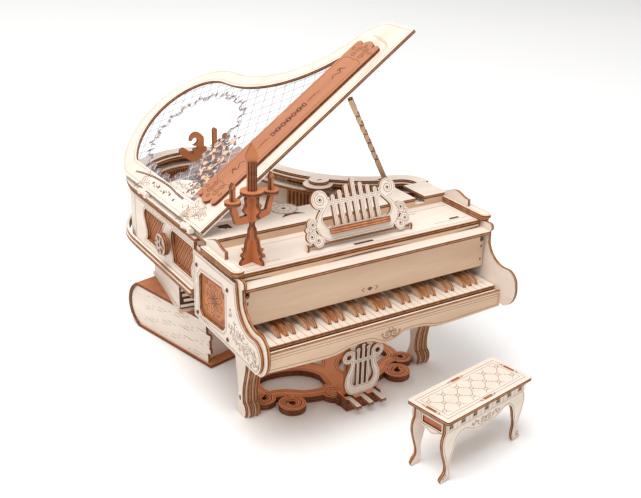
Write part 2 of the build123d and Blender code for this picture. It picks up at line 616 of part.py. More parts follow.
def trophy_parts():
    """Instruments standing on a round stage: leaves, scroll and bow."""
    x, y = TROPHY_AT
    stage = flat(disc(x, y, 17.0), 97.0) + flat(disc(x, y, 12.0), 99.0)
    stage += flat(disc(x, y, 5.0), 84.0, 13.0)
    z = 101.0
    body = link(x - 4, z + 3, 3, x + 4, z + 3, 3) + rect(x - 5, z, x + 5, z + 14)
    body += link(x - 5, z + 12, 2.5, x - 7, z + 24, 2.2) + disc(x - 10, z + 34, 4.4)
    body += link(x - 7, z + 24, 2.2, x - 7.0, z + 34, 2.2)
    body += rect(x - 12, z + 18, x - 3, z + 28)
    body += link(x + 4, z + 20, 2.0, x + 9, z + 30, 1.7) + disc(x + 11, z + 32.4, 2.4)
    body += link(x + 3, z + 12, 1.4, x + 3, z + 38, 1.4)
    body += link(x - 8, z + 18, 2, x - 19, z + 27, 2.4) + link(x + 6, z + 14, 2, x + 20, z + 22, 2.4)
    body -= disc(x - 11.0, z + 33.0, 2.0) + rect(x - 16.0, z + 30.4, x - 10.8, z + 33.2)
    plate = front(body, y - 1)
    wing = link(0, z + 2, 2, 0, z + 16, 2) + link(0, z + 10, 2, 9, z + 22, 2)
    wing += link(0, z + 10, 2, -9, z + 22, 2) + rect(-6, z, 6, z + 6)
    fore = side(wing & rect(-20, z - 5, -1.0, z + 60), x - 1)
    rear = side(wing & rect(1.0, z - 5, 20, z + 60), x - 1)
    write("trophy", stage, plate, Pos(0, y, 0) * fore, Pos(0, y, 0) * rear)


# ---- stand ---------------------------------------------------------------
def leg_profile(widen):
    """Front leg in (Y, Z): square head, knee, ankle and hoof; widen moves its front edge."""
    w = widen
    return make_face([
        Line((52.0, CHEEK_BOTTOM), (36.4 - w, CHEEK_BOTTOM)),
        Line((36.4 - w, CHEEK_BOTTOM), (36.4 - w, 43.0)),
        Line((36.4 - w, 43.0), (38.8 - w, 41.0)),
        Spline((38.8 - w, 41.0), (37.4 - w, 36), (39.4 - w, 26), (41.6 - w, 15), (41.0 - w, 8.6)),
        Spline((41.0 - w, 8.6), (38.4 - w, 6.2), (38.0 - w, 2.6), (39.0 - w, 0)),
        Line((39.0 - w, 0), (47.6, 0)),
        Spline((47.6, 0), (48.6, 5), (46.8, 10), (46.8, 18), (50.4, 38), (52.0, CHEEK_BOTTOM))])


def stand_parts():
    plies = []
    for k, widen in enumerate((0.0, 1.4, 0.4, 1.4, 0.0)):
        ply = side(leg_profile(widen), 57.0 + PLY * k)
        plies += [ply, mirrored(ply)]
    write("front_legs", *plies)
    write("base_scrollwork", flat(base_outline(), 0), flat(base_outline(), PLY),
          flat(link(-23, 84, 3.4, -31, 98, 3.6), PLY), flat(link(23, 84, 3.4, 17, 108, 3.6), PLY))


def band(radius, *points):
    """Strip with round ends along a smooth line through the points."""
    path = Spline(*points) if len(points) > 2 else Line(*points)
    shape = Sketch() + trace(path, line_width=2 * radius)
    return shape + disc(*points[0], radius) + disc(*points[-1], radius)


def base_outline():
    """Scrolled foot plate: hub, front arms ending in scrolls, bands behind them."""
    shape = link(-9, 33.5, 8.5, 9, 33.5, 8.5) + link(0, 36, 10, 0, 52, 7.5)
    shape += link(-6, 24.5, 7.0, 6, 24.5, 7.0)
    for s in (-1, 1):
        shape += disc(s * 38.0, 33.8, 8.2) + disc(s * 50.0, 46.2, 6.8)
        shape += band(3.9, (s * 10, 36), (s * 21, 36.8), (s * 28, 39.6), (s * 34, 44.4),
                      (s * 41, 47.4), (s * 48, 47.6))
        shape += band(3.6, (s * 47, 51), (s * 48, 62), (s * 43, 70), (s * 28, 71.4),
                      (s * 15, 67.4), (s * 4, 53))
        shape += band(3.2, (s * 28, 71.4), (s * 23, 84)) + band(2.8, (s * 11, 74), (s * 1, 60))
        for x, y, r, way in ((38.0, 33.8, 2.1, 1), (50.0, 46.2, 1.8, -1)):
            shape -= disc(s * x, y, r) + band(0.7, (s * x, y + r * 0.7), (s * (x + way * 2.6), y + 2.4))
    return shape - rect(-12.6, 10.0, 12.6, 26.6)


def lyre_outline(points, top):
    """Closed outline, even about the middle, through points given for one half."""
    mirror_points = [(-x, z) for x, z in reversed(points)]
    return make_face([Line(mirror_points[-1], points[0]), Spline(*points),
                      Line(points[-1], (points[-1][0], top)),
                      Line((points[-1][0], top), (-points[-1][0], top)),
                      Line((-points[-1][0], top), mirror_points[0]), Spline(*mirror_points)])


def lyre_parts():
    z0 = 8.0
    outer = lyre_outline([(4.0, z0), (9.6, z0 + 2.4), (12.2, z0 + 8.0), (11.4, z0 + 14.0),
                          (8.8, z0 + 20.0), (9.2, z0 + 26.0)], z0 + 27.0)
    inner = lyre_outline([(2.4, z0 + 6.4), (6.6, z0 + 7.6), (7.8, z0 + 11.4), (6.4, z0 + 16.4),
                          (5.6, z0 + 21.0), (5.8, z0 + 26.0)], z0 + 29.0)
    shape = outer - inner
    for s in (-1, 1):
        shape += disc(s * 10.0, z0 + 26.6, 4.2)
    shape += rect(-7, z0 + 21.6, 7, z0 + 23.8)
    for x, high in ((-3.5, 30.0), (0.0, 32.0), (3.5, 30.0)):
        shape += link(x, z0 + 5, 0.8, x, z0 + high, 0.8) + disc(x, z0 + high, 1.2)
    for s in (-1, 1):
        shape -= disc(s * 10.0, z0 + 26.6, 1.7)
    write("lyre_front", front(shape, 17.5))
    column = rect(-8, z0, 8, CHEEK_BOTTOM) - link(0, 16, 3.5, 0, 40, 3.5)
    spine = side(rect(21.5, z0, 23.5, CHEEK_BOTTOM), -1.0)
    curl = link(8.2, 40, 2.2, 14.5, 47, 2.6) + link(14.5, 47, 2.6, 20.0, 54.8, 2.7)
    curl += disc(12.5, 41.5, 3.6)
    bracket = front(curl & rect(8.0, 20, 40, CHEEK_BOTTOM), 21.5)
    foot = rect(-12, 15.0, 12, 26.0)
    base = foot - rect(-11, 14, -6.4, 21) - rect(-2.3, 14, 2.3, 21) - rect(6.4, 14, 11, 21)
    pin = rod_x(-11.6, 11.6, 19.0, 6.0, 0.6)
    write("lyre_stand", front(column, 19.5), front(column, 23.5), spine, bracket,
          mirrored(bracket), flat(foot, 0, 4.0), flat(base, 4.0, 4.0) - pin, pin)
    for name, x in (("pedal_left", -8.7), ("pedal_middle", 0.0), ("pedal_right", 8.7)):
        lever = link(7.6, 6.0, 1.2, 19.0, 6.0, 1.2) - disc(19.0, 6.0, 0.6 + GAP)
        write(name, side(lever, x - 1.6, 3.2))


# ---- books ---------------------------------------------------------------
BOOK_AT, BOOK_TURN, BOOK_HIGH = (-59.5, 98.5), 13.5, 33.0
TOP_BOOK_AT, TOP_BOOK_TURN = (-71.0, 119.0), -8.0


def book_shape(length, low, high):
    """Closed book seen from its side, in (Y, Z), with a round spine at the back."""
    mid, r = (low + high) / 2, (high - low) / 2
    bow = ThreePointArc((length, low), (length + r * 0.62, mid), (length, high))
    return make_face([Line((0, low), (length, low)), bow, Line((length, high), (0, high)),
                      Line((0, high), (0, low))])


def book_parts():
    place = Pos(BOOK_AT[0], BOOK_AT[1], 0) * Rot(0, 0, BOOK_TURN)
    length, width = 77.0, 76.0
    outer = book_shape(length, 0, BOOK_HIGH)
    inner = book_shape(length - 1.0, PLY, BOOK_HIGH - PLY) + rect(-2, PLY, 5, BOOK_HIGH - PLY)
    big_cover = place * side(outer - inner, 0, width)
    leaf = book_shape(length - 1.0, PLY, BOOK_HIGH - PLY) - rect(-1, 0, 1.5, 40)
    for low, step in ((PLY, 4.0), (12.0, 2.5), (22.0, 5.5)):
        leaf -= rect(0, low, step, low + 7.0)
    ends = [side(leaf, 1.0), side(leaf, width - 3.0),
            block(3.0, 8.0, PLY, width - 3.0, 10.0, BOOK_HIGH - PLY)]
    ends = [place * s for s in ends]
    cells = [rod_x(12.0, 56.0, 30.0, 10.4, 5.0), rod_x(12.0, 56.0, 42.0, 10.4, 5.0)]
    tray = block(9.0, 23.0, PLY, 61.0, 49.0, 17.0) - block(10.5, 24.5, 3.6, 59.5, 47.5, 18)
    board = block(12.0, 54.0, PLY, 40.0, 70.0, 3.6)
    write("battery_box", *[place * s for s in (tray, board, *cells)])
    top_place = Pos(TOP_BOOK_AT[0], TOP_BOOK_AT[1], 0) * Rot(0, 0, TOP_BOOK_TURN)
    low, high = BOOK_HIGH, TAIL_FLOOR
    wide, deep = 62.0, 62.0
    covers = [block(0, 0, low, wide, deep, low + PLY), block(0, 0, high - PLY, wide, deep, high)]
    write("book_covers", big_cover, *[top_place * s for s in covers])
    walls = [block(1.0, 1.6, low + PLY, 3.0, deep - 1, high - PLY),
             block(wide - 3.0, 1.6, low + PLY, wide - 1.0, deep - 1, high - PLY),
             block(3.0, 1.6, low + PLY, wide - 3.0, 3.6, high - PLY),
             block(3.0, deep - 3.0, low + PLY, wide - 3.0, deep - 1, high - PLY)]
    write("book_pages", *ends, *[top_place * s for s in walls])


# ---- bench ---------------------------------------------------------------
def bench_side(half):
    """Half of a long side in (X, Z): apron, cabriole leg and scrolled foot."""
    top = BENCH_HEIGHT - PLY
    return make_face([
        Line((0, top), (half, top)), Line((half, top), (half, 31.0)),
        Spline((half, 31.0), (half + 1.6, 25.5), (half + 0.2, 18.0), (half - 2.2, 11.0),
               (half - 2.0, 5.0), (half + 0.9, 2.0), (half - 0.2, 0.0)),
        Line((half - 0.2, 0.0), (half - 4.4, 0.0)),
        Spline((half - 4.4, 0.0), (half - 6.4, 3.4), (half - 5.8, 10.0), (half - 7.2, 17.0),
               (half - 9.0, 23.2), (half - 12.6, 27.0)),
        Spline((half - 12.6, 27.0), (half - 17.0, 26.8), (half - 21.0, 24.8), (6.0, 23.0),
               (0, 22.6)),
        Line((0, 22.6), (0, top))])


def bench_parts():
    L, W, H = BENCH_LENGTH / 2, BENCH_WIDTH / 2, BENCH_HEIGHT
    place = Pos(BENCH_AT[0], BENCH_AT[1], 0) * Rot(0, 0, BENCH_TURN)
    top = RectangleRounded(BENCH_LENGTH, BENCH_WIDTH, 1.6)
    for x, y, w, h in ((0, W - 3.0, 7, 2.0), (0, 3.0 - W, 7, 2.0), (L - 3.0, 0, 2.0, 7),
                       (3.0 - L, 0, 2.0, 7)):
        top -= Pos(x, y) * Rectangle(w, h)
    write("bench_top", place * flat(top, H - PLY))
    half_side = bench_side(L - 2.4)
    apron = half_side + mirror(half_side, about=Plane.YZ)
    long_sides = [place * front(apron, 3.0 - W), place * front(apron, W - 5.0)]
    half = W - 5.0
    end = make_face([
        Line((-half, H - PLY), (-half, 27.6)),
        Spline((-half, 27.6), (-5.6, 26.8), (0, 24.6), (5.6, 26.8), (half, 27.6)),
        Line((half, 27.6), (half, H - PLY)), Line((half, H - PLY), (-half, H - PLY))])
    end -= rect(-6.6, 29.0, 6.6, 33.2)
    ends = [place * side(end, 4.6 - L), place * side(end, L - 6.6)]
    write("bench_frame", *long_sides, *ends)


os.makedirs("parts", exist_ok=True)
case_parts()
shelf_parts()
flap_parts()
rim_parts()
keyboard_parts()
drive_parts()
lid_parts()
prop_parts()
desk_parts()
candelabrum_parts()
trophy_parts()
stand_parts()
lyre_parts()
book_parts()
bench_parts()
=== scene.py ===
"""Looks of the plywood grand piano puzzle model: materials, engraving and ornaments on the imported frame."""
from math import ceil, cos, pi, radians, sin

import bpy
from mathutils import Matrix, Vector


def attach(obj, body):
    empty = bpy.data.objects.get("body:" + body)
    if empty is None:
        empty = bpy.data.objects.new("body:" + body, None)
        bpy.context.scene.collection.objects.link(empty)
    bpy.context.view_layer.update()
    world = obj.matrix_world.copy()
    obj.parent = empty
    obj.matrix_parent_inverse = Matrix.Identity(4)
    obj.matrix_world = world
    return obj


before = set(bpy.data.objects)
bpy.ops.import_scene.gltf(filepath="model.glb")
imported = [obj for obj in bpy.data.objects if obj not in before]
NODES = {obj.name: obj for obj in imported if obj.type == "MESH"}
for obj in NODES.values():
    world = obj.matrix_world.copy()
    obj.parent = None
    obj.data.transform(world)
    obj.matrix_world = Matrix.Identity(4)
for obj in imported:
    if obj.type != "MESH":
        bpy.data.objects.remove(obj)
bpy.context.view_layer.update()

# ---- sizes shared with the CAD, in millimetres ----
HUB_Y = 40.0
HINGE_X, HINGE_Z = -84.6, 111.0
LID_UNDER = 109.7
LID_ANGLE = radians(35.67)
LID_TOP = LID_UNDER + 3.0
BEAM_TOP = LID_UNDER + 5.0
RIM_TOP = 109.4
SHELF_TOP = 103.4
CHEEK_X, CHEEK_PANEL_X = 85.2, 83.2
KEY_SLIP_Y, FLAP_Y, LYRE_Y = -5.4, 12.5, 17.5
GRILLE_X, SIDE_PANEL_X, LEG_X = -82.5, -84.6, 67.0
KEY_PITCH, WHITE_KEYS = 4.5, 36
KNOB_X, KNOB_AT = -90.8, (-98.8, 91.5)
FOOT_PLATE_TOP = 4.0
BENCH_TOP, BENCH_SIDE, BENCH_END = 40.4, 11.4, 30.65
BENCH_AT, BENCH_TURN = (24.0, -50.0), radians(10.2)
BOOK_AT, BOOK_TURN = (-59.5, 98.5), radians(13.5)
TOP_BOOK_AT, TOP_BOOK_TURN = (-71.0, 119.0), radians(-8.0)
DESK_PIVOT = (26.0, 106.0)
DESK_LEAN = radians(22.0)

# ---- places of the trim and print that only the scene has ----
PANEL_THICK, BOSS_THICK = 0.35, 0.2
VALANCE_Y = 17.7
BOSS_AT = (-21.5, 75.0)
NET_NODE, NET_STEP = (24.9, 97.8), (5.0, 4.8)

RIGHT, BACK, UP = (1, 0, 0), (0, 1, 0), (0, 0, 1)
XYZ = (RIGHT, BACK, UP)


def point(x, y, z):
    """Drawing coordinates (front edge of the keys at y = 0) to the row frame, in metres."""
    return Vector((x, y - HUB_Y, z)) * 0.001


class Face:
    """A flat drawing surface: (u, v) in millimetres to the row frame, with its outward normal."""

    def __init__(self, origin, u, v):
        self.origin, self.u, self.v = Vector(origin), Vector(u).normalized(), Vector(v).normalized()
        self.normal = self.u.cross(self.v)

    def at(self, u, v, lift=0.0):
        p = self.origin + self.u * u + self.v * v + self.normal * lift
        return point(*p)

    def level(self):
        return self.at(0, 0).dot(self.normal)


def top_face(z):
    return Face((0, 0, z), RIGHT, BACK)


def left_face(x):
    """Seen from the bass side: u runs forward (to -Y), v runs up."""
    return Face((x, 0, 0), (0, -1, 0), UP)


def right_face(x):
    return Face((x, 0, 0), BACK, UP)


def side_face(side, x):
    """The outer face at distance x from the middle: side is -1 for bass and 1 for treble."""
    return left_face(-x) if side < 0 else right_face(x)


def front_face(y):
    return Face((0, y, 0), RIGHT, UP)


def lid_face(closed_z):
    """A surface of the raised lid, drawn in the closed lid's plan."""
    along = Vector((cos(LID_ANGLE), 0, sin(LID_ANGLE)))
    up = Vector((-sin(LID_ANGLE), 0, cos(LID_ANGLE)))
    origin = Vector((HINGE_X, 0, HINGE_Z)) - along * HINGE_X + up * (closed_z - HINGE_Z)
    return Face(origin, along, BACK)


def turned_face(at, turn, local_origin, local_u, local_v):
    """A face of a bench or book, given in that piece's own directions before its turn."""
    spin = Matrix.Rotation(turn, 3, "Z")
    origin = Vector((at[0], at[1], 0)) + spin @ Vector(local_origin)
    return Face(origin, spin @ Vector(local_u), spin @ Vector(local_v))


def desk_face(y):
    """Front of the leaning music desk, drawn upright in (x, height over the pivot)."""
    back, up = Vector((0, cos(DESK_LEAN), -sin(DESK_LEAN))), Vector(
        (0, sin(DESK_LEAN), cos(DESK_LEAN)))
    origin = Vector((0, DESK_PIVOT[0], DESK_PIVOT[1])) + back * (y - DESK_PIVOT[0])
    return Face(origin, RIGHT, up)


# ---- materials ----
def preset(node, **values):
    """Sets a node's input sockets; an underscore in a keyword stands for a space."""
    for socket, value in values.items():
        node.inputs[socket.replace("_", " ")].default_value = value


def new_material(name):
    material = bpy.data.materials.new(name)
    material.use_nodes = True
    tree = material.node_tree
    return material, tree, tree.nodes["Principled BSDF"]


def sheet_coordinates(tree, axes):
    """Object coordinates in millimetres, measured along three given axes."""
    source = tree.nodes.new("ShaderNodeTexCoord")
    joined = tree.nodes.new("ShaderNodeCombineXYZ")
    for index, axis in enumerate(axes):
        dot = tree.nodes.new("ShaderNodeVectorMath")
        dot.operation = "DOT_PRODUCT"
        dot.inputs[1].default_value = Vector(axis) * 1000
        tree.links.new(source.outputs["Object"], dot.inputs[0])
        tree.links.new(dot.outputs["Value"], joined.inputs[index])
    return joined.outputs[0]


def scaled(tree, vector, scale):
    mapping = tree.nodes.new("ShaderNodeMapping")
    preset(mapping, Scale=scale)
    tree.links.new(vector, mapping.inputs["Vector"])
    return mapping.outputs[0]


def noise(tree, vector, scale, detail=3.0, rough=0.55):
    node = tree.nodes.new("ShaderNodeTexNoise")
    preset(node, Scale=1.0, Detail=detail, Roughness=rough)
    tree.links.new(scaled(tree, vector, scale), node.inputs["Vector"])
    return node.outputs["Fac"]


def ramp(tree, value, stops):
    node = tree.nodes.new("ShaderNodeValToRGB")
    elements = node.color_ramp.elements
    while len(elements) < len(stops):
        elements.new(0.5)
    for element, (place, color) in zip(elements, stops):
        element.position = place
        element.color = (*color, 1.0)
    tree.links.new(value, node.inputs["Fac"])
    return node.outputs["Color"]


def mixed(tree, first, second, factor, blend="MIX"):
    node = tree.nodes.new("ShaderNodeMix")
    node.data_type = "RGBA"
    node.blend_type = blend
    if isinstance(factor, float):
        node.inputs["Factor"].default_value = factor
    else:
        tree.links.new(factor, node.inputs["Factor"])
    tree.links.new(first, node.inputs["A"])
    tree.links.new(second, node.inputs["B"])
    return node.outputs["Result"]


def add_bump(tree, shader, height, strength, distance):
    bump = tree.nodes.new("ShaderNodeBump")
    preset(bump, Strength=strength, Distance=distance)
    tree.links.new(height, bump.inputs["Height"])
    tree.links.new(bump.outputs["Normal"], shader.inputs["Normal"])


TONES = {
    "birch": ((0.76, 0.645, 0.55), (0.84, 0.75, 0.67), (0.66, 0.48, 0.36)),
    "tan": ((0.63, 0.435, 0.30), (0.73, 0.54, 0.39), (0.52, 0.33, 0.20)),
    # The russet tone is the rust tone darkened for the lid beam, which faces the key light: painted shade.
    "russet_painted_shade": ((0.43, 0.165, 0.080), (0.51, 0.215, 0.110), (0.28, 0.090, 0.040)),
    # The rust tone is the stained brown brightened to make up for the shade under the piano: painted light on
    # the foot plates.
    "rust_painted_light": ((0.84, 0.300, 0.125), (0.92, 0.385, 0.175), (0.56, 0.170, 0.064)),
    # The amber tone, used only on the middle black key, is painted shade of the crevice between keys.
    "crevice_shade_amber": ((0.58, 0.27, 0.11), (0.68, 0.35, 0.16), (0.36, 0.13, 0.045)),
    "stained": ((0.46, 0.150, 0.052), (0.58, 0.215, 0.085), (0.30, 0.085, 0.028)),
    "umber": ((0.34, 0.105, 0.038), (0.45, 0.155, 0.060), (0.20, 0.055, 0.020)),
}
EDGE_TONES = {
    "birch": ((0.17, 0.058, 0.022), (0.33, 0.125, 0.048), (0.56, 0.29, 0.13)),
    "stained": ((0.10, 0.030, 0.012), (0.21, 0.066, 0.026), (0.34, 0.125, 0.05)),
    "copper": ((0.28, 0.085, 0.030), (0.50, 0.185, 0.075), (0.64, 0.29, 0.13)),
}
PLY_LINES = 0.236  # wave scale that gives a dark line every 1.33 mm across a sheet
FLAT_SHARE, FLAT_CAD = 0.9, 0.92  # least cosine to the sheet's normal that counts as its face
WOODS = {}


def sheet_axes(normal):
    """Grain, cross and normal directions of a sheet with this normal."""
    n = Vector(normal).normalized()
    grain = Vector(RIGHT) if abs(n.x) < 0.7 else Vector(BACK)
    grain = (grain - n * grain.dot(n)).normalized()
    return grain, n.cross(grain), n


def axis_key(normal):
    n = Vector(normal).normalized()
    lead = max(range(3), key=lambda i: abs(n[i]))
    if n[lead] < 0:
        n = -n
    return tuple(round(c, 2) + 0.0 for c in n)


def wood(tone, normal):
    """Sanded plywood face: fibres along the grain, soft bands and small flecks."""
    key = ("face", tone, axis_key(normal))
    if key in WOODS:
        return WOODS[key]
    material, tree, shader = new_material("wood_%s_%d" % (tone, len(WOODS)))
    base, light, fleck_color = TONES[tone]
    place = sheet_coordinates(tree, sheet_axes(key[2]))
    bands = noise(tree, place, (0.012, 0.10, 0.3), 3.0)
    fibres = noise(tree, place, (0.10, 2.6, 1.0), 5.0, 0.65)
    flecks = noise(tree, place, (0.55, 5.5, 2.0), 2.0)
    tint = ramp(tree, bands, [(0.30, base), (0.70, light)])
    streak = ramp(tree, fibres, [(0.25, (0.86, 0.80, 0.74)), (0.60, (1.0, 1.0, 1.0))])
    color = mixed(tree, tint, streak, 0.55, "MULTIPLY")
    mask = ramp(tree, flecks, [(0.66, (0.0, 0.0, 0.0)), (0.74, (0.55, 0.55, 0.55))])
    dark = ramp(tree, bands, [(0.0, fleck_color), (1.0, fleck_color)])
    color = mixed(tree, color, dark, mask)
    tree.links.new(color, shader.inputs["Base Color"])
    gloss = tree.nodes.new("ShaderNodeMapRange")
    preset(gloss, To_Min=0.50, To_Max=0.68)
    tree.links.new(fibres, gloss.inputs["Value"])
    tree.links.new(gloss.outputs["Result"], shader.inputs["Roughness"])
    preset(shader, Specular_IOR_Level=0.32)
    add_bump(tree, shader, fibres, 0.35, 0.00005)
    WOODS[key] = material
    return material


def burnt(tone, normal):
    """Laser-cut edge: scorched, with the plies showing as lines across the sheet."""
    key = ("edge", tone, axis_key(normal))
    if key in WOODS:
        return WOODS[key]
    material, tree, shader = new_material("burnt_%s_%d" % (tone, len(WOODS)))
    place = sheet_coordinates(tree, sheet_axes(key[2]))
    waver = noise(tree, place, (0.25, 0.25, 0.0), 2.0)
    wave = tree.nodes.new("ShaderNodeTexWave")
    wave.bands_direction = "Z"
    preset(wave, Scale=PLY_LINES, Distortion=0.6, Detail=2.0)
    tree.links.new(place, wave.inputs["Vector"])
    dark, middle, light = EDGE_TONES[tone]
    plies = ramp(tree, wave.outputs["Fac"], [(0.15, dark), (0.55, middle), (0.95, light)])
    scorch = ramp(tree, waver, [(0.35, (0.62, 0.55, 0.50)), (0.65, (1.0, 1.0, 1.0))])
    color = mixed(tree, plies, scorch, 0.8, "MULTIPLY")
    tree.links.new(color, shader.inputs["Base Color"])
    preset(shader, Roughness=0.62, Specular_IOR_Level=0.25)
    grit = noise(tree, place, (3.0, 3.0, 6.0), 3.0)
    add_bump(tree, shader, grit, 0.4, 0.00006)
    WOODS[key] = material
    return material


def mottled(name, dark, light, scale, roughness, metallic=0.0):
    """Plain tint with a fine mottle, for engraving, ink and moulded parts."""
    material, tree, shader = new_material(name)
    place = sheet_coordinates(tree, XYZ)
    speckle = noise(tree, place, (scale, scale, scale), 4.0)
    tree.links.new(ramp(tree, speckle, [(0.3, dark), (0.7, light)]), shader.inputs["Base Color"])
    preset(shader, Roughness=roughness, Metallic=metallic)
    add_bump(tree, shader, speckle, 0.25, 0.00004)
    return material


def clear_plastic(name, alpha):
    material, tree, shader = new_material(name)
    place = sheet_coordinates(tree, XYZ)
    haze = noise(tree, place, (0.05, 0.05, 0.05), 2.0)
    tint = ramp(tree, haze, [(0.3, (0.86, 0.88, 0.92)), (0.7, (0.95, 0.96, 0.98))])
    tree.links.new(tint, shader.inputs["Base Color"])
    preset(shader, Roughness=0.06, IOR=1.49, Alpha=alpha)
    add_bump(tree, shader, haze, 0.05, 0.00005)
    return material


ENGRAVED = mottled("engraved_line", (0.16, 0.075, 0.036), (0.30, 0.155, 0.080), 1.5, 0.8)
FAINT = mottled("engraved_faint", (0.46, 0.27, 0.15), (0.58, 0.38, 0.23), 1.5, 0.8)
DEEP = mottled("engraved_deep", (0.055, 0.022, 0.012), (0.12, 0.045, 0.022), 1.5, 0.85)
INK = mottled("printed_ink", (0.085, 0.040, 0.038), (0.19, 0.10, 0.09), 1.2, 0.5)
PALE_INK = mottled("printed_net", (0.34, 0.34, 0.37), (0.58, 0.57, 0.60), 1.0, 0.5)
CLEAR = clear_plastic("clear_sheet", 0.13)
CLEAR_EDGE = clear_plastic("clear_sheet_edge", 0.75)
BLACK_PLASTIC = mottled("black_moulding", (0.012, 0.012, 0.013), (0.035, 0.035, 0.036), 2.0, 0.5)
STEEL = mottled("motor_can", (0.42, 0.42, 0.43), (0.60, 0.60, 0.61), 3.0, 0.32, 1.0)
CREAM_PRINT = wood("tan", UP)
PRINTED = mottled("brown_print", (0.085, 0.028, 0.018), (0.19, 0.070, 0.045), 1.5, 0.75)

# ---- dressing the CAD nodes ----
# Black keys (keys_Cs, keys_Ds, keys_Fs, keys_As and keys_Gs) take tan and amber faces instead of cream:
# painted shade and reflection of the deep gaps between keys.
TONE_OF = {
    "fallboard_flap": ("tan", "birch"), "key_slip": ("tan", "birch"), "lid_prop": ("tan", "birch"),
    "base_scrollwork": ("rust_painted_light", "stained"), "lid_beam": ("russet_painted_shade", "stained"),
    "keys_Gs": ("crevice_shade_amber", "copper"), "motor": ("steel", "steel"), "battery_box": ("black", "black"),
}
for tones, names in ((("stained", "stained"), ("rim_grilles", "candelabrum", "candles", "trophy",
                                               "book_covers", "key_slip_backing")),
                     (("tan", "copper"), ("keys_Cs", "keys_Ds", "keys_Fs", "keys_As"))):
    TONE_OF.update({name: tones for name in names})


def welded_triangles(mesh):
    """Polygons with corners merged by place, since the import splits them at sharp edges."""
    ids, keys = {}, []
    for vertex in mesh.vertices:
        key = tuple(round(c * 1e6) for c in vertex.co)
        keys.append(ids.setdefault(key, len(ids)))
    return [[keys[i] for i in polygon.vertices] for polygon in mesh.polygons], len(ids)


def solid_groups(mesh):
    """Group number of every polygon; a group is one connected solid."""
    corners, count = welded_triangles(mesh)
    parent = list(range(count))

    def root(i):
        while parent[i] != i:
            parent[i] = parent[parent[i]]
            i = parent[i]
        return i

    for face in corners:
        for i in face[1:]:
            parent[root(i)] = root(face[0])
    return [root(face[0]) for face in corners]


def sheet_normals(mesh, groups):
    """The direction across each solid's sheet: the normal that holds the most area."""
    areas = {}
    for polygon, group in zip(mesh.polygons, groups):
        bins = areas.setdefault(group, {})
        key = axis_key(polygon.normal)
        bins[key] = bins.get(key, 0.0) + polygon.area
    return {group: max(bins, key=bins.get) for group, bins in areas.items()}


def split_edges(mesh, normal):
    """The second material slot for polygons that don't face along the sheet's normal."""
    for polygon in mesh.polygons:
        polygon.material_index = int(abs(polygon.normal.dot(normal)) <= FLAT_SHARE)


def dress(name, node):
    """Face and cut-edge finishes for each solid of a CAD node, told apart by direction."""
    mesh = node.data
    face_tone, edge_tone = TONE_OF.get(name, ("birch", "birch"))
    mesh.materials.clear()
    if face_tone in ("steel", "black"):
        mesh.materials.append(STEEL if face_tone == "steel" else BLACK_PLASTIC)
        return
    if name == "lid_clear_sheet":
        mesh.materials.append(CLEAR)
        mesh.materials.append(CLEAR_EDGE)
        split_edges(mesh, lid_face(0).normal)
        return
    groups = solid_groups(mesh)
    normals = sheet_normals(mesh, groups)
    slots = {}
    for polygon, group in zip(mesh.polygons, groups):
        normal = normals[group]
        flat = abs(polygon.normal.dot(Vector(normal).normalized())) > FLAT_CAD
        key = (flat, normal)
        if key not in slots:
            slots[key] = len(slots)
            mesh.materials.append(wood(face_tone, normal) if flat else burnt(edge_tone, normal))
        polygon.material_index = slots[key]


for node_name, cad_node in NODES.items():
    dress(node_name, cad_node)


# ---- building marks and small pieces ----
def add_object(name, data):
    obj = bpy.data.objects.new(name, data)
    bpy.context.scene.collection.objects.link(obj)
    return obj


def solid_mesh(name, vertices, faces, material):
    mesh = bpy.data.meshes.new(name)
    mesh.from_pydata([tuple(v) for v in vertices], [], faces)
    mesh.materials.append(material)
    return mesh


def add_piece(name, mesh, body, slot):
    """A finished mesh becomes a piece that rides on a body."""
    piece = add_object(name, mesh)
    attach(piece, body)


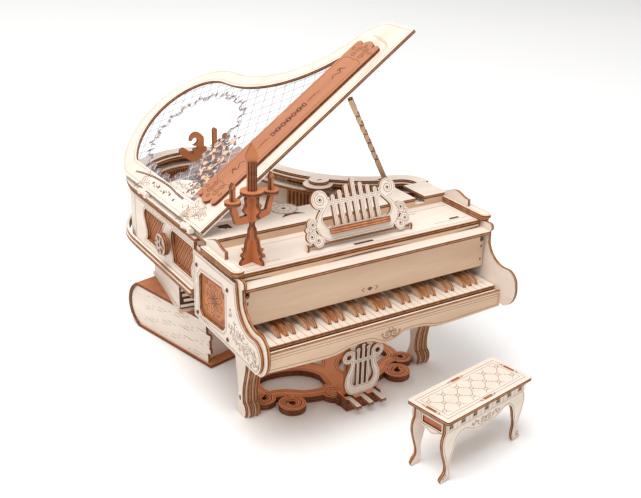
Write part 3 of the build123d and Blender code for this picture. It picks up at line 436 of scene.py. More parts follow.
class Marks:
    """Engraved or printed lines gathered into one mesh: each is a thin closed strip."""

    def __init__(self, name, body="piano", material=ENGRAVED, slot="birch"):
        self.name, self.body, self.material, self.slot = name, body, material, slot
        self.vertices, self.faces = [], []

    def line(self, face, points, width=0.32, closed=False, lift=0.03, depth=0.10):
        points = [Vector(p) for p in points]
        kept = [points[0]]
        for p in points[1:]:
            if (p - kept[-1]).length > 0.02:
                kept.append(p)
        if closed and (kept[0] - kept[-1]).length < 0.02:
            kept.pop()
        count = len(kept)
        if count < 2:
            return
        start = len(self.vertices)
        for i, p in enumerate(kept):
            before = kept[i - 1] if closed or i else None
            after = kept[(i + 1) % count] if closed or i < count - 1 else None
            d1 = (p - before).normalized() if before is not None else (after - p).normalized()
            d2 = (after - p).normalized() if after is not None else d1
            side = Vector((-(d1.y + d2.y), d1.x + d2.x))
            side = side.normalized() if side.length > 1e-6 else Vector((-d1.y, d1.x))
            stretch = 1.0 / max(0.5, side.dot(Vector((-d1.y, d1.x))))
            half = side * (width / 2 * stretch)
            for q, h in ((p + half, lift), (p - half, lift), (p - half, -depth), (p + half, -depth)):
                self.vertices.append(face.at(q.x, q.y, h))
        turns = count if closed else count - 1
        for i in range(turns):
            a, b = start + 4 * i, start + 4 * ((i + 1) % count)
            for k in range(4):
                n = (k + 1) % 4
                self.faces.append((a + k, b + k, b + n, a + n))
        if not closed:
            self.faces.append((start, start + 1, start + 2, start + 3))
            end = start + 4 * (count - 1)
            self.faces.append((end + 3, end + 2, end + 1, end))

    def lines(self, face, *paths):
        """Several open lines, each given as (points, width)."""
        for points, width in paths:
            self.line(face, points, width)

    def patch(self, face, points, lift=0.04, depth=0.10):
        """Filled outline, raised a hair over the surface."""
        start, count = len(self.vertices), len(points)
        for h in (lift, -depth):
            self.vertices += [face.at(u, v, h) for u, v in points]
        self.faces.append(tuple(range(start, start + count)))
        self.faces.append(tuple(range(start + 2 * count - 1, start + count - 1, -1)))
        for i in range(count):
            n = (i + 1) % count
            self.faces.append((start + i, start + count + i, start + count + n, start + n))

    def build(self):
        mesh = solid_mesh(self.name, self.vertices, self.faces, self.material)
        add_piece(self.name, mesh, self.body, self.slot)


def rect(u0, v0, u1, v1):
    return [(u0, v0), (u1, v0), (u1, v1), (u0, v1)]


def ring(cu, cv, r, count=28, squash=1.0):
    return [(cu + r * cos(2 * pi * i / count),
             cv + r * squash * sin(2 * pi * i / count)) for i in range(count)]


def spiral(cu, cv, r0, r1, start, turns, count=36):
    """Points from radius r0 to r1 round a centre; start in degrees, turns signed."""
    points = []
    for i in range(count + 1):
        t = i / count
        angle = radians(start) + 2 * pi * turns * t
        radius = r0 + (r1 - r0) * t
        points.append((cu + radius * cos(angle), cv + radius * sin(angle)))
    return points


def curve(*controls, count=10):
    """Smooth line through the given points."""
    c = [controls[0], *controls, controls[-1]]
    points = []
    for i in range(1, len(c) - 2):
        for k in range(count):
            t = k / count
            a = [0.5 * ((2 * c[i][j]) + (c[i + 1][j] - c[i - 1][j]) * t
                        + (2 * c[i - 1][j] - 5 * c[i][j] + 4 * c[i + 1][j] - c[i + 2][j]) * t * t
                        + (3 * c[i][j] - c[i - 1][j] - 3 * c[i + 1][j] + c[i + 2][j]) * t ** 3)
                 for j in range(2)]
            points.append(tuple(a))
    return points + [controls[-1]]


def outline_loops(node, face):
    """Border loops of the flat surface of a CAD node that lies on this drawing face."""
    mesh = NODES[node].data
    corners = welded_triangles(mesh)[0]
    place, edges = {}, {}
    level = face.level()
    for polygon, ids in zip(mesh.polygons, corners):
        if polygon.normal.dot(face.normal) < 0.995:
            continue
        if abs(polygon.center.dot(face.normal) - level) > 0.00003:
            continue
        for k, i in enumerate(ids):
            place[i] = mesh.vertices[polygon.vertices[k]].co
            edges[(i, ids[(k + 1) % len(ids)])] = True
    border = {a: b for a, b in edges if (b, a) not in edges}
    loops = []
    while border:
        first, b = border.popitem()
        loop = [first]
        while b != first and b in border:
            loop.append(b)
            b = border.pop(b)
        flat = []
        for i in loop:
            p = place[i] * 1000 + Vector((0, HUB_Y, 0)) - face.origin
            flat.append(Vector((p.dot(face.u), p.dot(face.v))))
        if len(flat) > 2:
            loops.append(tidy_loop(flat))
    return loops


def tidy_loop(points):
    """The loop without doubled points and without points along a straight run."""
    kept = [p for i, p in enumerate(points) if (p - points[i - 1]).length > 0.04]
    result = []
    for i, p in enumerate(kept):
        a, b = p - kept[i - 1], kept[(i + 1) % len(kept)] - p
        if a.length and b.length and a.normalized().dot(b.normalized()) < 0.9999:
            result.append(p)
    return result or kept


def distance_to(p, a, b):
    d = b - a
    t = max(0.0, min(1.0, (p - a).dot(d) / max(d.length_squared, 1e-9)))
    return (p - a - d * t).length


def runs_of(points):
    """Unbroken runs of two points or more; a None breaks a run."""
    run = []
    for p in (*points, None):
        if p is not None:
            run.append(p)
        else:
            if len(run) > 1:
                yield run
            run = []


def inset_runs(loop, gap):
    """The loop moved inwards by gap, cut where it would come too near the border."""
    count = len(loop)
    moved = []
    for i, p in enumerate(loop):
        d1, d2 = (p - loop[i - 1]).normalized(), (loop[(i + 1) % count] - p).normalized()
        n1, n2 = Vector((-d1.y, d1.x)), Vector((-d2.y, d2.x))
        both = n1 + n2
        if both.length < 0.2:
            continue
        moved.append(p + both * (gap / max(0.35, 1 + n1.dot(n2))))
    segments = [(loop[i - 1], loop[i]) for i in range(count)]
    return runs_of(p if min(distance_to(p, a, b) for a, b in segments) > gap * 0.93 else None
                   for p in moved + moved[:1])


def trace(marks, node, face, gaps, width=0.3, longest_only=False):
    """Engraved lines that follow a sheet's outline at the given gaps."""
    loops = outline_loops(node, face)
    if longest_only and loops:
        loops = [max(loops, key=lambda l: sum((l[i] - l[i - 1]).length for i in range(len(l))))]
    for loop in loops:
        for gap in gaps:
            for run in inset_runs(loop, gap):
                marks.line(face, run, width)


def plate(name, body, face, outline, thick, tone, edge_tone=None):
    """Small laser-cut piece: an outline on a face, extruded by thick, with burnt edges."""
    edge_tone = edge_tone or tone
    curves = bpy.data.curves.new(name, "CURVE")
    curves.dimensions = "2D"
    curves.fill_mode = "BOTH"
    curves.extrude = thick / 2
    spline = curves.splines.new("POLY")
    spline.points.add(len(outline) - 1)
    for p, (u, v) in zip(spline.points, outline):
        p.co = (u, v, 0, 1)
    spline.use_cyclic_u = True
    temp = add_object(name + "_temp", curves)
    mesh = bpy.data.meshes.new_from_object(temp)
    bpy.data.objects.remove(temp)
    mesh.name = name
    for vertex in mesh.vertices:
        vertex.co = face.at(vertex.co.x, vertex.co.y, vertex.co.z + thick / 2)
    mesh.update()
    mesh.materials.clear()
    mesh.materials.append(wood(tone, face.normal))
    mesh.materials.append(burnt(edge_tone, face.normal))
    split_edges(mesh, face.normal)
    add_piece(name, mesh, body, edge_tone)


# ---- ornament shapes ----
def placed(points, cu, cv, size=1.0, turn=0.0, flip=1):
    """Local points scaled, mirrored in u by flip, turned in degrees and moved."""
    c, s = cos(radians(turn)), sin(radians(turn))
    moved = []
    for u, v in points:
        u *= size * flip
        v *= size
        moved.append((cu + u * c - v * s, cv + u * s + v * c))
    return moved


def tendril(marks, face, cu, cv, size, turn=0.0, flip=1, width=0.28):
    """A stem that ends in a scroll, with two small leaves."""
    stem = curve((-1.0, -0.25), (-0.4, -0.05), (0.25, -0.3), (0.75, -0.15))
    scroll = spiral(0.62, 0.16, 0.34, 0.06, -70, 1.35, 26)
    leaf_a = curve((-0.75, -0.1), (-0.62, 0.32), (-0.25, 0.42), (-0.36, 0.1), (-0.75, -0.1), count=6)
    leaf_b = curve((-0.1, -0.22), (0.12, -0.58), (0.5, -0.6), (0.3, -0.34), (-0.1, -0.22), count=6)
    for part in (stem, scroll, leaf_a, leaf_b):
        marks.line(face, placed(part, cu, cv, size, turn, flip), width)


def centre_flourish(marks, face, cu, cv, size, turn=0.0, width=0.3):
    """Mirrored scrolls either side of a small bud."""
    for flip in (-1, 1):
        for part in (spiral(0.52, 0.02, 0.30, 0.05, 150, -1.4, 24),
                     curve((0.12, -0.2), (0.5, -0.42), (0.95, -0.25), (1.25, 0.05)),
                     spiral(1.18, 0.18, 0.16, 0.04, -60, 1.1, 16),
                     curve((0.06, 0.1), (0.28, 0.42), (0.62, 0.46), (0.8, 0.3))):
            marks.line(face, placed(part, cu, cv, size, turn, flip), width)
    bud = [(0, -0.42), (0.13, 0), (0, 0.42), (-0.13, 0)]
    marks.line(face, placed(bud, cu, cv, size, turn), width, closed=True)


def rosette(marks, face, cu, cv, size, width=0.3):
    """Eight petals round a button, with a dot between the petals."""
    for k in range(8):
        turn = 45 * k + 22.5
        petal = curve((0.12, 0), (0.36, 0.13), (0.66, 0.15), (0.92, 0), (0.66, -0.15), (0.36, -0.13),
                      (0.12, 0), count=5)
        vein = [(0.2, 0), (0.62, 0)]
        hook = spiral(0.80, 0.27, 0.12, 0.03, -90, 1.0, 12)
        for part in (petal, vein, hook):
            marks.line(face, placed(part, cu, cv, size, turn), width)
    marks.line(face, ring(cu, cv, size * 0.1, 12), width, closed=True)


def rose(marks, face, cu, cv, size, width=0.28):
    """Round bloom in light line, with curled leaves round it."""
    marks.line(face, spiral(cu, cv, size * 0.62, size * 0.05, 0, 2.6, 60), width)
    for k in range(5):
        marks.line(face, placed(spiral(0.62, 0.0, 0.30, 0.12, -120, 0.62, 12), cu, cv, size, 72 * k),
                   width)
    for k in range(3):
        leaf = curve((0.72, 0), (1.0, 0.2), (1.4, 0.08), (1.0, -0.14), (0.72, 0), count=5)
        marks.line(face, placed(leaf, cu, cv, size, 120 * k + 25), width)


def inside(p, loop):
    hit = False
    for i, b in enumerate(loop):
        a = loop[i - 1]
        if (a[1] > p[1]) != (b[1] > p[1]):
            if p[0] < (b[0] - a[0]) * (p[1] - a[1]) / (b[1] - a[1]) + a[0]:
                hit = not hit
    return hit


def net(marks, face, box, slope, pitch, keep, width, node=None, steep=1.0):
    """Diamond net over a box: both families of slanting lines, kept where keep(p) holds.

    A crossing of the net falls on node, when it is given.  The falling lines are steep times
    as wide as the rising ones."""
    u0, v0, u1, v1 = box
    rise = (u1 - u0) * slope
    steps = int((u1 - u0) / 0.8)
    for sign in (-1, 1):
        level = v0 - rise
        if node:
            middle = node[1] - sign * slope * (node[0] - (u0 + u1) / 2)
            level = middle - pitch * ceil((middle - level) / pitch)
        while level < v1 + rise:
            points = []
            for k in range(steps + 1):
                u = u0 + (u1 - u0) * k / steps
                v = level + sign * slope * (u - (u0 + u1) / 2)
                points.append((u, v) if v0 <= v <= v1 and keep((u, v)) else None)
            for run in runs_of(points):
                marks.line(face, run, width if sign > 0 else width * steep)
            level += pitch


def retint(node, test, material):
    """Gives the polygons that pass test(centre in drawing millimetres, normal) another finish."""
    mesh = NODES[node].data
    if material.name not in mesh.materials:
        mesh.materials.append(material)
    index = mesh.materials.find(material.name)
    for polygon in mesh.polygons:
        c = polygon.center * 1000
        if test(Vector((c.x, c.y + HUB_Y, c.z)), polygon.normal):
            polygon.material_index = index


# ---- cheeks ----
WINDOW = [(25.6, 70), (28.6, 66.8), (54, 64.6), (57, 67.4), (57, 87.8), (54.2, 91.2), (29.2, 92.8),
          (25.6, 89.4)]


def cheek_marks(side):
    face = side_face(side, CHEEK_X)
    way, name = (-1, "left") if side < 0 else (1, "right")
    marks = Marks("cheek_lines_" + name)
    trace(marks, "cheek_facings", face, (1.1, 1.9), 0.24)
    for y, z, size, turn in ((19.6, 82, 3.0, 100), (15.6, 76.0, 3.6, 130), (6.5, 73.5, 3.4, 160),
                             (-5.2, 70.6, 3.4, 185), (-9.6, 65.2, 2.8, 200), (2.0, 65.0, 3.6, 10),
                             (11.0, 67.0, 3.6, 30), (20.0, 72.4, 3.2, 60), (-4.6, 63.0, 2.8, -20)):
        tendril(marks, face, way * y, z, size, turn if way > 0 else 180 - turn, way, 0.3)
    for y, z, r, turn in ((10.6, 73.4, 2.9, 40), (0.6, 69.4, 3.1, 150), (-7.4, 67.6, 2.3, 250),
                          (15.0, 70.0, 2.4, 300), (5.4, 68.0, 1.9, 80)):
        marks.line(face, spiral(way * y, z, r, 0.4, turn, way * 2.0, 40), 0.3)
        for k in range(5):
            marks.line(face, placed([(r + 0.5, 0), (r + 1.5, 0.5)], way * y, z, 1, turn + 72 * k), 0.3)
    for y, z in ((60.4, 70), (60.4, 79), (60.4, 88)):
        marks.line(face, [(way * y, z - 3), (way * y, z + 3)], 0.22)
    marks.build()

    centre_y, centre_z = (sum(p[i] for p in WINDOW) / len(WINDOW) for i in (0, 1))

    def window(share):
        return [(way * (centre_y + (y - centre_y) * share), centre_z + (z - centre_z) * share)
                for y, z in WINDOW]

    plate("cheek_panel_" + name, "piano", side_face(side, CHEEK_PANEL_X), window(0.985), PANEL_THICK,
          "stained")
    raised = side_face(side, CHEEK_PANEL_X + PANEL_THICK)
    carved = Marks("cheek_rosette_" + name, "piano", DEEP, "stained")
    for share in (0.90, 0.80):
        carved.line(raised, window(share), 0.26, closed=True)
    rosette(carved, raised, way * centre_y, centre_z, 10.2, 0.30)
    for sy, sz in ((-1, -1), (-1, 1), (1, -1), (1, 1)):
        tendril(carved, raised, way * (centre_y + sy * 9.6), centre_z + sz * 7.8, 2.3,
                45 if sy * sz > 0 else 135, sy, 0.24)
    carved.build()


for cheek_side in (-1, 1):
    cheek_marks(cheek_side)
retint("cheek_facings", lambda c, n: abs(c.x) > 85.35 or (abs(n.x) < 0.5 and abs(c.x) > 85.2), DEEP)


# ---- front ----
def front_marks():
    """Key slip, key cover, music shelf and side caps."""
    slip = front_face(KEY_SLIP_Y)
    marks = Marks("key_slip_lines")
    trace(marks, "key_slip", slip, (1.5,), 0.3, longest_only=True)
    centre_flourish(marks, slip, 1.6, 58.4, 4.8, 0, 0.42)
    for side in (-1, 1):
        marks.line(slip, curve((1.6 + side * 0.6, 56.6), (1.6 + side * 3.0, 55.9),
                               (1.6 + side * 5.4, 57.0)), 0.34)
        marks.line(slip, placed([(0, 0.42), (0.5, 0.9), (0.16, 1.3)], 1.6, 58.4, 3.2, 0, side), 0.34)
    marks.line(slip, [(-79.6, 62.9), (79.6, 62.9)], 0.22)
    marks.build()

    flap = front_face(FLAP_Y)
    marks = Marks("fallboard_print_and_hole_shade", "fallboard", INK)
    marks.patch(flap, [(-3.4, 79.3), (-1.4, 78.0), (0.6, 79.3), (-1.4, 80.6)])
    for side in (-1, 1):
        marks.line(flap, [(-1.4 + side * 3.6, 80.5), (-1.4 + side * 5.4, 79.3),
                          (-1.4 + side * 3.6, 78.1)], 0.4)
    # The small holes in the flap are not cut: these ink-coloured patches are painted shade of the openings.
    for z in (92.2, 88.6, 80.2):
        for side in (-1, 1):
            marks.patch(flap, rect(side * 78.6 - 0.5, z - 0.9, side * 78.6 + 0.5, z + 0.9))
    marks.build()

    shelf = top_face(SHELF_TOP)
    marks = Marks("shelf_lines")
    marks.lines(shelf, ([(-78, 19.4), (78, 19.4)], 0.25), ([(-78, 20.6), (78, 20.6)], 0.18),
                ([(-56, 46.5), (78, 46.5)], 0.22))
    for side in (-1, 1):
        marks.line(shelf, [(side * 52, 25.2), (side * 76, 25.2)], 0.3)
    marks.line(shelf, curve((46, 43.5), (48, 44.4), (50, 43.2), (52, 44.2)), 0.4)
    marks.build()

    wave = [(x, 101.2) for x in (-79, 79)]
    low = [(79 - 2.0 * k, 99.4 + 0.85 * cos((79 - 2.0 * k) * pi / 44)) for k in range(80)]
    plate("shelf_valance", "piano", front_face(VALANCE_Y), [*low[::-1], *wave[::-1]], 1.0, "tan", "birch")

    cap = Marks("side_cap_lines")
    for z in (105.4, 107.4):
        trace(cap, "side_caps", top_face(z), (1.2,), 0.22)
    cap.build()


front_marks()
retint("front_deck", lambda c, n: abs(n.y) > 0.9 and c.z < 107.35, wood("tan", BACK))
retint("rim_hinges", lambda c, n: True, wood("birch", BACK))
retint("lid_frame", lambda c, n: c.x < -83.0, wood("birch", BACK))
retint("key_bed", lambda c, n: True, wood("tan", UP))


def key_marks():
    """Cream tops and dark fronts of the white keys."""
    for key_node in ("keys_C", "keys_D", "keys_E", "keys_F", "keys_G", "keys_A", "keys_B"):
        retint(key_node, lambda c, n: n.z > 0.9 and c.z > 67.0, wood("birch", UP))
        retint(key_node, lambda c, n: n.y < -0.6 and c.y < 8, burnt("birch", UP))


key_marks()


def box_piece(name, body, boxes, material, slot):
    """Several upright boxes (low corner, high corner) in one mesh."""
    vertices, faces = [], []
    for (x0, y0, z0), (x1, y1, z1) in boxes:
        start = len(vertices)
        for z in (z0, z1):
            vertices += [point(x0, y0, z), point(x1, y0, z), point(x1, y1, z), point(x0, y1, z)]
        for f in ((3, 2, 1, 0), (4, 5, 6, 7), (0, 1, 5, 4), (1, 2, 6, 5), (2, 3, 7, 6), (3, 0, 4, 7)):
            faces.append(tuple(start + i for i in f))
    add_piece(name, solid_mesh(name, vertices, faces, material), body, slot)


def key_fronts():
    """Brown drop at the front of every white key."""
    gap = 0.22
    for note, letter in enumerate("CDEFGAB"):
        boxes = []
        for key in range(note, WHITE_KEYS, 7):
            x = (key - WHITE_KEYS // 2) * KEY_PITCH
            boxes.append(((x + gap, 0.1, 62.6), (x + KEY_PITCH - gap, 1.1, 65.55)))
        box_piece("key_fronts_" + letter, "keys_" + letter, boxes, burnt("birch", BACK),
                  "white_key")


key_fronts()
box_piece("key_slip_ledge", "piano", [((-80.4, -3.3, 62.2), (80.4, -0.5, 64.9))],
          wood("birch", UP), "birch")


# ---- bench ----
def bench_face(origin, u, v):
    return turned_face(BENCH_AT, BENCH_TURN, origin, u, v)


def bench_marks():
    top = bench_face((0, 0, BENCH_TOP), RIGHT, BACK)
    marks = Marks("bench_top_lines", "bench")
    gap = 5.2
    for half_u, half_v, width in ((32.25, 11.4, 0.26), (30.0, 9.5, 0.22)):
        for side in (-1, 1):
            if half_v > 11:
                for end in (-1, 1):
                    marks.line(top, [(end * half_u, side * half_v), (end * gap, side * half_v)], width)
                    marks.line(top, [(side * half_u, end * half_v), (side * half_u, end * gap)], width)
            else:
                marks.line(top, [(-half_u, side * half_v), (half_u, side * half_v)], width)
                marks.line(top, [(side * half_u, -half_v), (side * half_u, half_v)], width)
    for cu, cv, turn in ((0, 11.4, 0), (0, -11.4, 0), (32.25, 0, 90), (-32.25, 0, 90)):
        for flip in (-1, 1):
            for part in (curve((3.7, 0.1), (4.4, 0.8), (5.2, -0.5), (6.0, 0.2)),
                         curve((3.9, -0.5), (4.7, -0.9), (5.4, 0.6), (6.6, 0.0))):
                marks.line(top, placed(part, cu, cv, 1, turn, flip), 0.26)
    pitch, row = 11.2, 5.5
    knots = [(pitch * k, 0) for k in range(-2, 3)]
    knots += [(pitch * (k + 0.5), side * row) for k in range(-3, 3) for side in (-1, 1)]
    for u, v in knots:
        marks.line(top, ring(u, v, 1.15, 14), 0.34, closed=True)
        for du, dv in ((pitch / 2, row), (-pitch / 2, row), (pitch / 2, -row), (-pitch / 2, -row)):
            for near, far in ((0.22, 0.36), (0.42, 0.5)):
                end = (u + du * far, v + dv * far)
                if abs(end[0]) < 29.6 and abs(end[1]) < 9.2:
                    marks.line(top, [(u + du * near, v + dv * near), end], 0.36)
    marks.build()

    sides = Marks("bench_side_lines", "bench")
    deep = Marks("bench_squares", "bench", DEEP)
    pale = Marks("bench_square_glyphs", "bench", FAINT)
    for way in (-1, 1):
        face = bench_face((0, way * BENCH_SIDE, 0), (-way, 0, 0), UP)
        trace(sides, "bench_frame", face, (1.0,), 0.24)
        sides.lines(face, ([(-31.4, 37.5), (31.4, 37.5)], 0.22), ([(-31.4, 31.2), (31.4, 31.2)], 0.22))
        for k in range(-3, 4):
            u, v = 9.6 * k, 34.4
            deep.patch(face, rect(u - 1.4, v - 1.6, u + 1.4, v + 1.6))
            sides.line(face, rect(u - 1.9, v - 2.1, u + 1.9, v + 2.1), 0.2, closed=True)
            for edge in (-4.8, 4.8):
                sides.line(face, [(u + edge, 31.4), (u + edge, 37.3)], 0.16)
            for flip in (-1, 1):
                pale.line(face, placed(spiral(0.5, 0.25, 0.42, 0.1, 200, 1.1, 12), u, v, 1.5, 0, flip),
                          0.22, lift=0.07)
            pale.line(face, [(u, v - 1.3), (u, v + 1.2)], 0.2, lift=0.07)
        centre_flourish(sides, face, 0, 26.8, 5.2, 0, 0.34)
        for flip in (-1, 1):
            tendril(sides, face, flip * 9.4, 28.3, 2.4, flip * -14, flip, 0.28)
            sides.line(face, spiral(flip * 31.2, 3.6, 2.0, 0.4, 90, flip * 1.8, 30), 0.28)
    for way in (-1, 1):
        face = bench_face((way * BENCH_END, 0, 0), (0, way, 0), UP)
        trace(sides, "bench_frame", face, (0.9,), 0.24)
        sides.line(face, rect(-7.6, 28.2, 7.6, 34.2), 0.22, closed=True)
    sides.build()
    deep.build()
    pale.build()


bench_marks()
for tab, (u, v, w, h) in enumerate(((0, 11.4, 3.4, 0.95), (0, -11.4, 3.4, 0.95), (32.25, 0, 0.95, 3.4),
                                    (-32.25, 0, 0.95, 3.4))):
    tab_face = bench_face((0, 0, 38.5), RIGHT, BACK)
    plate("bench_tab_%d" % tab, "bench", tab_face, rect(u - w, v - h, u + w, v + h), 1.7, "umber",
          "stained")
for end, way in (("left", -1), ("right", 1)):
    end_face = bench_face((way * 28.9, 0, 0), (0, way, 0), UP)
    plate("bench_end_panel_" + end, "bench", end_face, rect(-6.5, 29.1, 6.5, 33.1), 0.8, "stained")


# ---- lid ----
def lid_frame_marks(top):
    """Engraving on the bass side, at the front corner and at the treble end of the lid."""
    marks = Marks("lid_frame_lines", "lid")
    trace(marks, "lid_frame", top, (1.6,), 0.16)
    for place in ((-78.6, 141.0, 5.6), (-76.8, 77.0, 6.4), (-73.2, 70.6, 4.4), (-80.2, 81.4, 4.2)):
        rose(marks, top, *place, 0.3)
    for side in (-1, 1):
        marks.line(top, curve((-76.6, 77 + side * 6), (-74.4, 77 + side * 8.6), (-77.6, 77 + side * 10.6),
                              (-75.6, 77 + side * 13.4)), 0.32)
    for v, count in ((128, 3), (118, 4)):
        for k in range(count):
            marks.line(top, placed(curve((-1, 0), (0, 0.5), (1, 0)), HINGE_X + 7.4 + 0.8 * k, v - 2.4 * k,
                                   1.4, 70), 0.5)
    marks.build()
    faint = Marks("lid_frame_map_lines", "lid", FAINT)
    for k in range(5):
        faint.line(top, curve((-60 + 7 * k, 59), (-57 + 7 * k, 61 + k % 2), (-60 + 7 * k, 63)), 0.2)
    for k in range(4):
        faint.line(top, curve((36 + 3 * k, 58.0 + 1.0 * k), (50 + 2 * k, 58.6 + 1.2 * k),
                              (66 + k, 61 + 1.6 * k), (71, 68 + 2.4 * k), (73, 78 + 2 * k)), 0.2)
    faint.build()
    arc = Marks("lid_frame_arc", "lid", PRINTED)
    run = curve((-77.2, 157.5), (-75.5, 149.8), (-73.6, 138), (-72.6, 126), (-72.4, 113), (-73.2, 104),
                (-73.6, 94))
    arc.line(top, run, 1.3)
    for u, v in ((-76.4, 131.4), (-76.6, 123.5), (-77.4, 114.5), (-76.1, 108.2), (-77.4, 101.0)):
        arc.patch(top, ring(u, v, 1.15, 7, 0.8))
    arc.build()
    dots = Marks("lid_frame_arc_dots", "lid", CREAM_PRINT)
    for k in range(2, len(run) - 2, 2):
        dots.patch(top, ring(run[k][0], run[k][1], 0.38, 6), 0.05)
    dots.build()


def lid_print(sheet, opening, hole):
    """Print of the clear sheet: net, lace round the hole, and a bunch of roses below it."""
    def on_sheet(p):
        return inside(p, opening) and not inside(p, hole)

    marks = Marks("clear_sheet_net", "lid", PALE_INK)
    box = [limit(p[i] for p in opening) for limit in (min, max) for i in (0, 1)]
    net(marks, sheet, box, 0.96, 9.6, on_sheet, 0.52, node=NET_NODE)
    for i in range(-14, 12):
        for j in range(-14, 12):
            at = (NET_NODE[0] + NET_STEP[0] * (i + j), NET_NODE[1] + NET_STEP[1] * (i - j))
            if on_sheet(at):
                marks.patch(sheet, ring(at[0], at[1], 0.7, 6))
    marks.build()

    middle = Vector((sum(p.x for p in hole) / len(hole), sum(p.y for p in hole) / len(hole)))
    border = Marks("clear_sheet_border", "lid", INK)
    for grow, width, share in ((0.6, 0.6, 9), (1.8, 0.36, 7), (3.2, 0.26, 5)):
        points = []
        for i, p in enumerate(hole):
            q = p + (p - middle).normalized() * (grow + 0.12 * sin(i * 1.9))
            points.append((q.x, q.y) if inside(q, opening) and i % 10 < share else None)
        for run in runs_of(points):
            border.line(sheet, run, width)
    for i in range(0, len(hole), 17):
        q = hole[i] + (hole[i] - middle).normalized() * 1.8
        if inside(q, opening):
            border.patch(sheet, ring(q.x, q.y, 1.1, 7, 0.7))
    border.build()

    blooms = []
    for k in range(22):
        along, across = -19.5 + 1.86 * k, 6.2 * sin(2.4 * k + 0.5)
        turn = radians(27)
        at = (-46 + along * cos(turn) - across * sin(turn),
              104.5 + along * sin(turn) + across * cos(turn))
        if on_sheet(at):
            blooms.append((at, 2.6 + 1.1 * sin(1.7 * k)))
    petals = Marks("clear_sheet_roses", "lid", CREAM_PRINT)
    for (u, v), r in blooms:
        petals.patch(sheet, ring(u, v, r * 0.72, 12))
    petals.build()
    band = Marks("clear_sheet_side_band", "lid", wood("birch", UP))
    band.patch(sheet, [(-70.4, 92), (-61.5, 93), (-59.5, 101), (-62.5, 110), (-66.0, 119), (-70.4, 121)])
    band.build()
    lines = Marks("clear_sheet_rose_lines", "lid", INK)
    for k, ((u, v), r) in enumerate(blooms):
        rose(lines, sheet, u, v, r, 0.44)
        for turn in range(70 * k, 70 * k + 360, 72):
            leaf = [(0, 0), (1.6, 0.9), (3.6, 0), (1.6, -0.9)]
            at = placed([(r, 0)], u, v, 1.0, turn)[0]
            lines.patch(sheet, placed(leaf, at[0], at[1], 0.8, turn + 30), 0.06)
    for k in range(12):
        v = 94 + 2.6 * k
        lines.line(sheet, placed(curve((-1.6, 0), (-0.5, 0.8), (0.6, -0.6), (1.7, 0.3)), -66.8, v, 1.0,
                                 70 + 40 * sin(2.1 * k)), 0.34, lift=0.06)
    lines.build()


def lid_beam_marks():
    beam = lid_face(BEAM_TOP)
    marks = Marks("lid_beam_lines", "lid", DEEP, "stained")
    centre, mid, half = -0.75, 75.4, 63.2
    for end in (-1, 1):
        u = centre + end * 59.6
        for flip in (-1, 1):
            rail = mid + flip * 8.8
            marks.lines(beam, (spiral(u, mid + flip * 3.2, 2.5, 0.5, -90 * flip, flip * 1.6, 26), 0.36),
                        (spiral(u - end * 4.4, mid + flip * 3.6, 2.2, 0.4, 90 * flip, -flip * 1.5, 24), 0.34),
                        (spiral(u - end * 0.6, mid + flip * 8.0, 1.5, 0.4, 90 * flip, -flip * 1.2, 20), 0.3),
                        ([(u - end * 9.0, rail), (u - end * 57, rail)], 0.24),
                        (curve((u - end * 7.6, mid), (u - end * 7.2, mid + flip * 4.4),
                               (u - end * 9.0, rail)), 0.26))
        wave = curve((u - end * 15, mid - 1.6), (u - end * 16.5, mid + 1.8), (u - end * 19, mid - 1.2),
                     (u - end * 22, mid + 1.4), (u - end * 25, mid - 0.6))
        marks.lines(beam, (spiral(u + end * 3.4, mid, 1.5, 0.4, 0, 1.4, 20), 0.32), (wave, 0.5),
                    (spiral(u - end * 17.5, mid + 1.6, 1.4, 0.3, 0, end * 1.3, 16), 0.34),
                    ([(centre + end * 15, mid), (centre + end * 25, mid)], 0.34),
                    ([(centre + end * 17, mid + 1.0), (centre + end * 22, mid + 1.0)], 0.28),
                    ([(centre + end * half, mid + 6.2), (centre + end * (half - 1.6), mid + 9.0)], 0.2))
    for k in range(-6, 7):
        u = centre + 2.1 * k
        shape = (spiral(u, mid, 1.3, 0.3, 90 * (k % 4), 1.3, 14) if k % 2 else
                 [(u - 0.75, mid - 1.8), (u - 0.75, mid + 1.8), (u + 0.75, mid + 1.8), (u + 0.75, mid - 1.8)])
        marks.line(beam, shape, 0.6, closed=not k % 2)
    marks.build()


def lid_marks():
    top = lid_face(LID_TOP)
    sheet = lid_face(LID_UNDER + 1.0)
    hole = max(outline_loops("lid_clear_sheet", sheet), key=lambda l: -abs(max(p.x for p in l)))
    frame_loops = sorted(outline_loops("lid_frame", top), key=lambda l: max(p.x for p in l))
    lid_frame_marks(top)
    lid_print(sheet, frame_loops[0], hole)
    lid_beam_marks()


lid_marks()


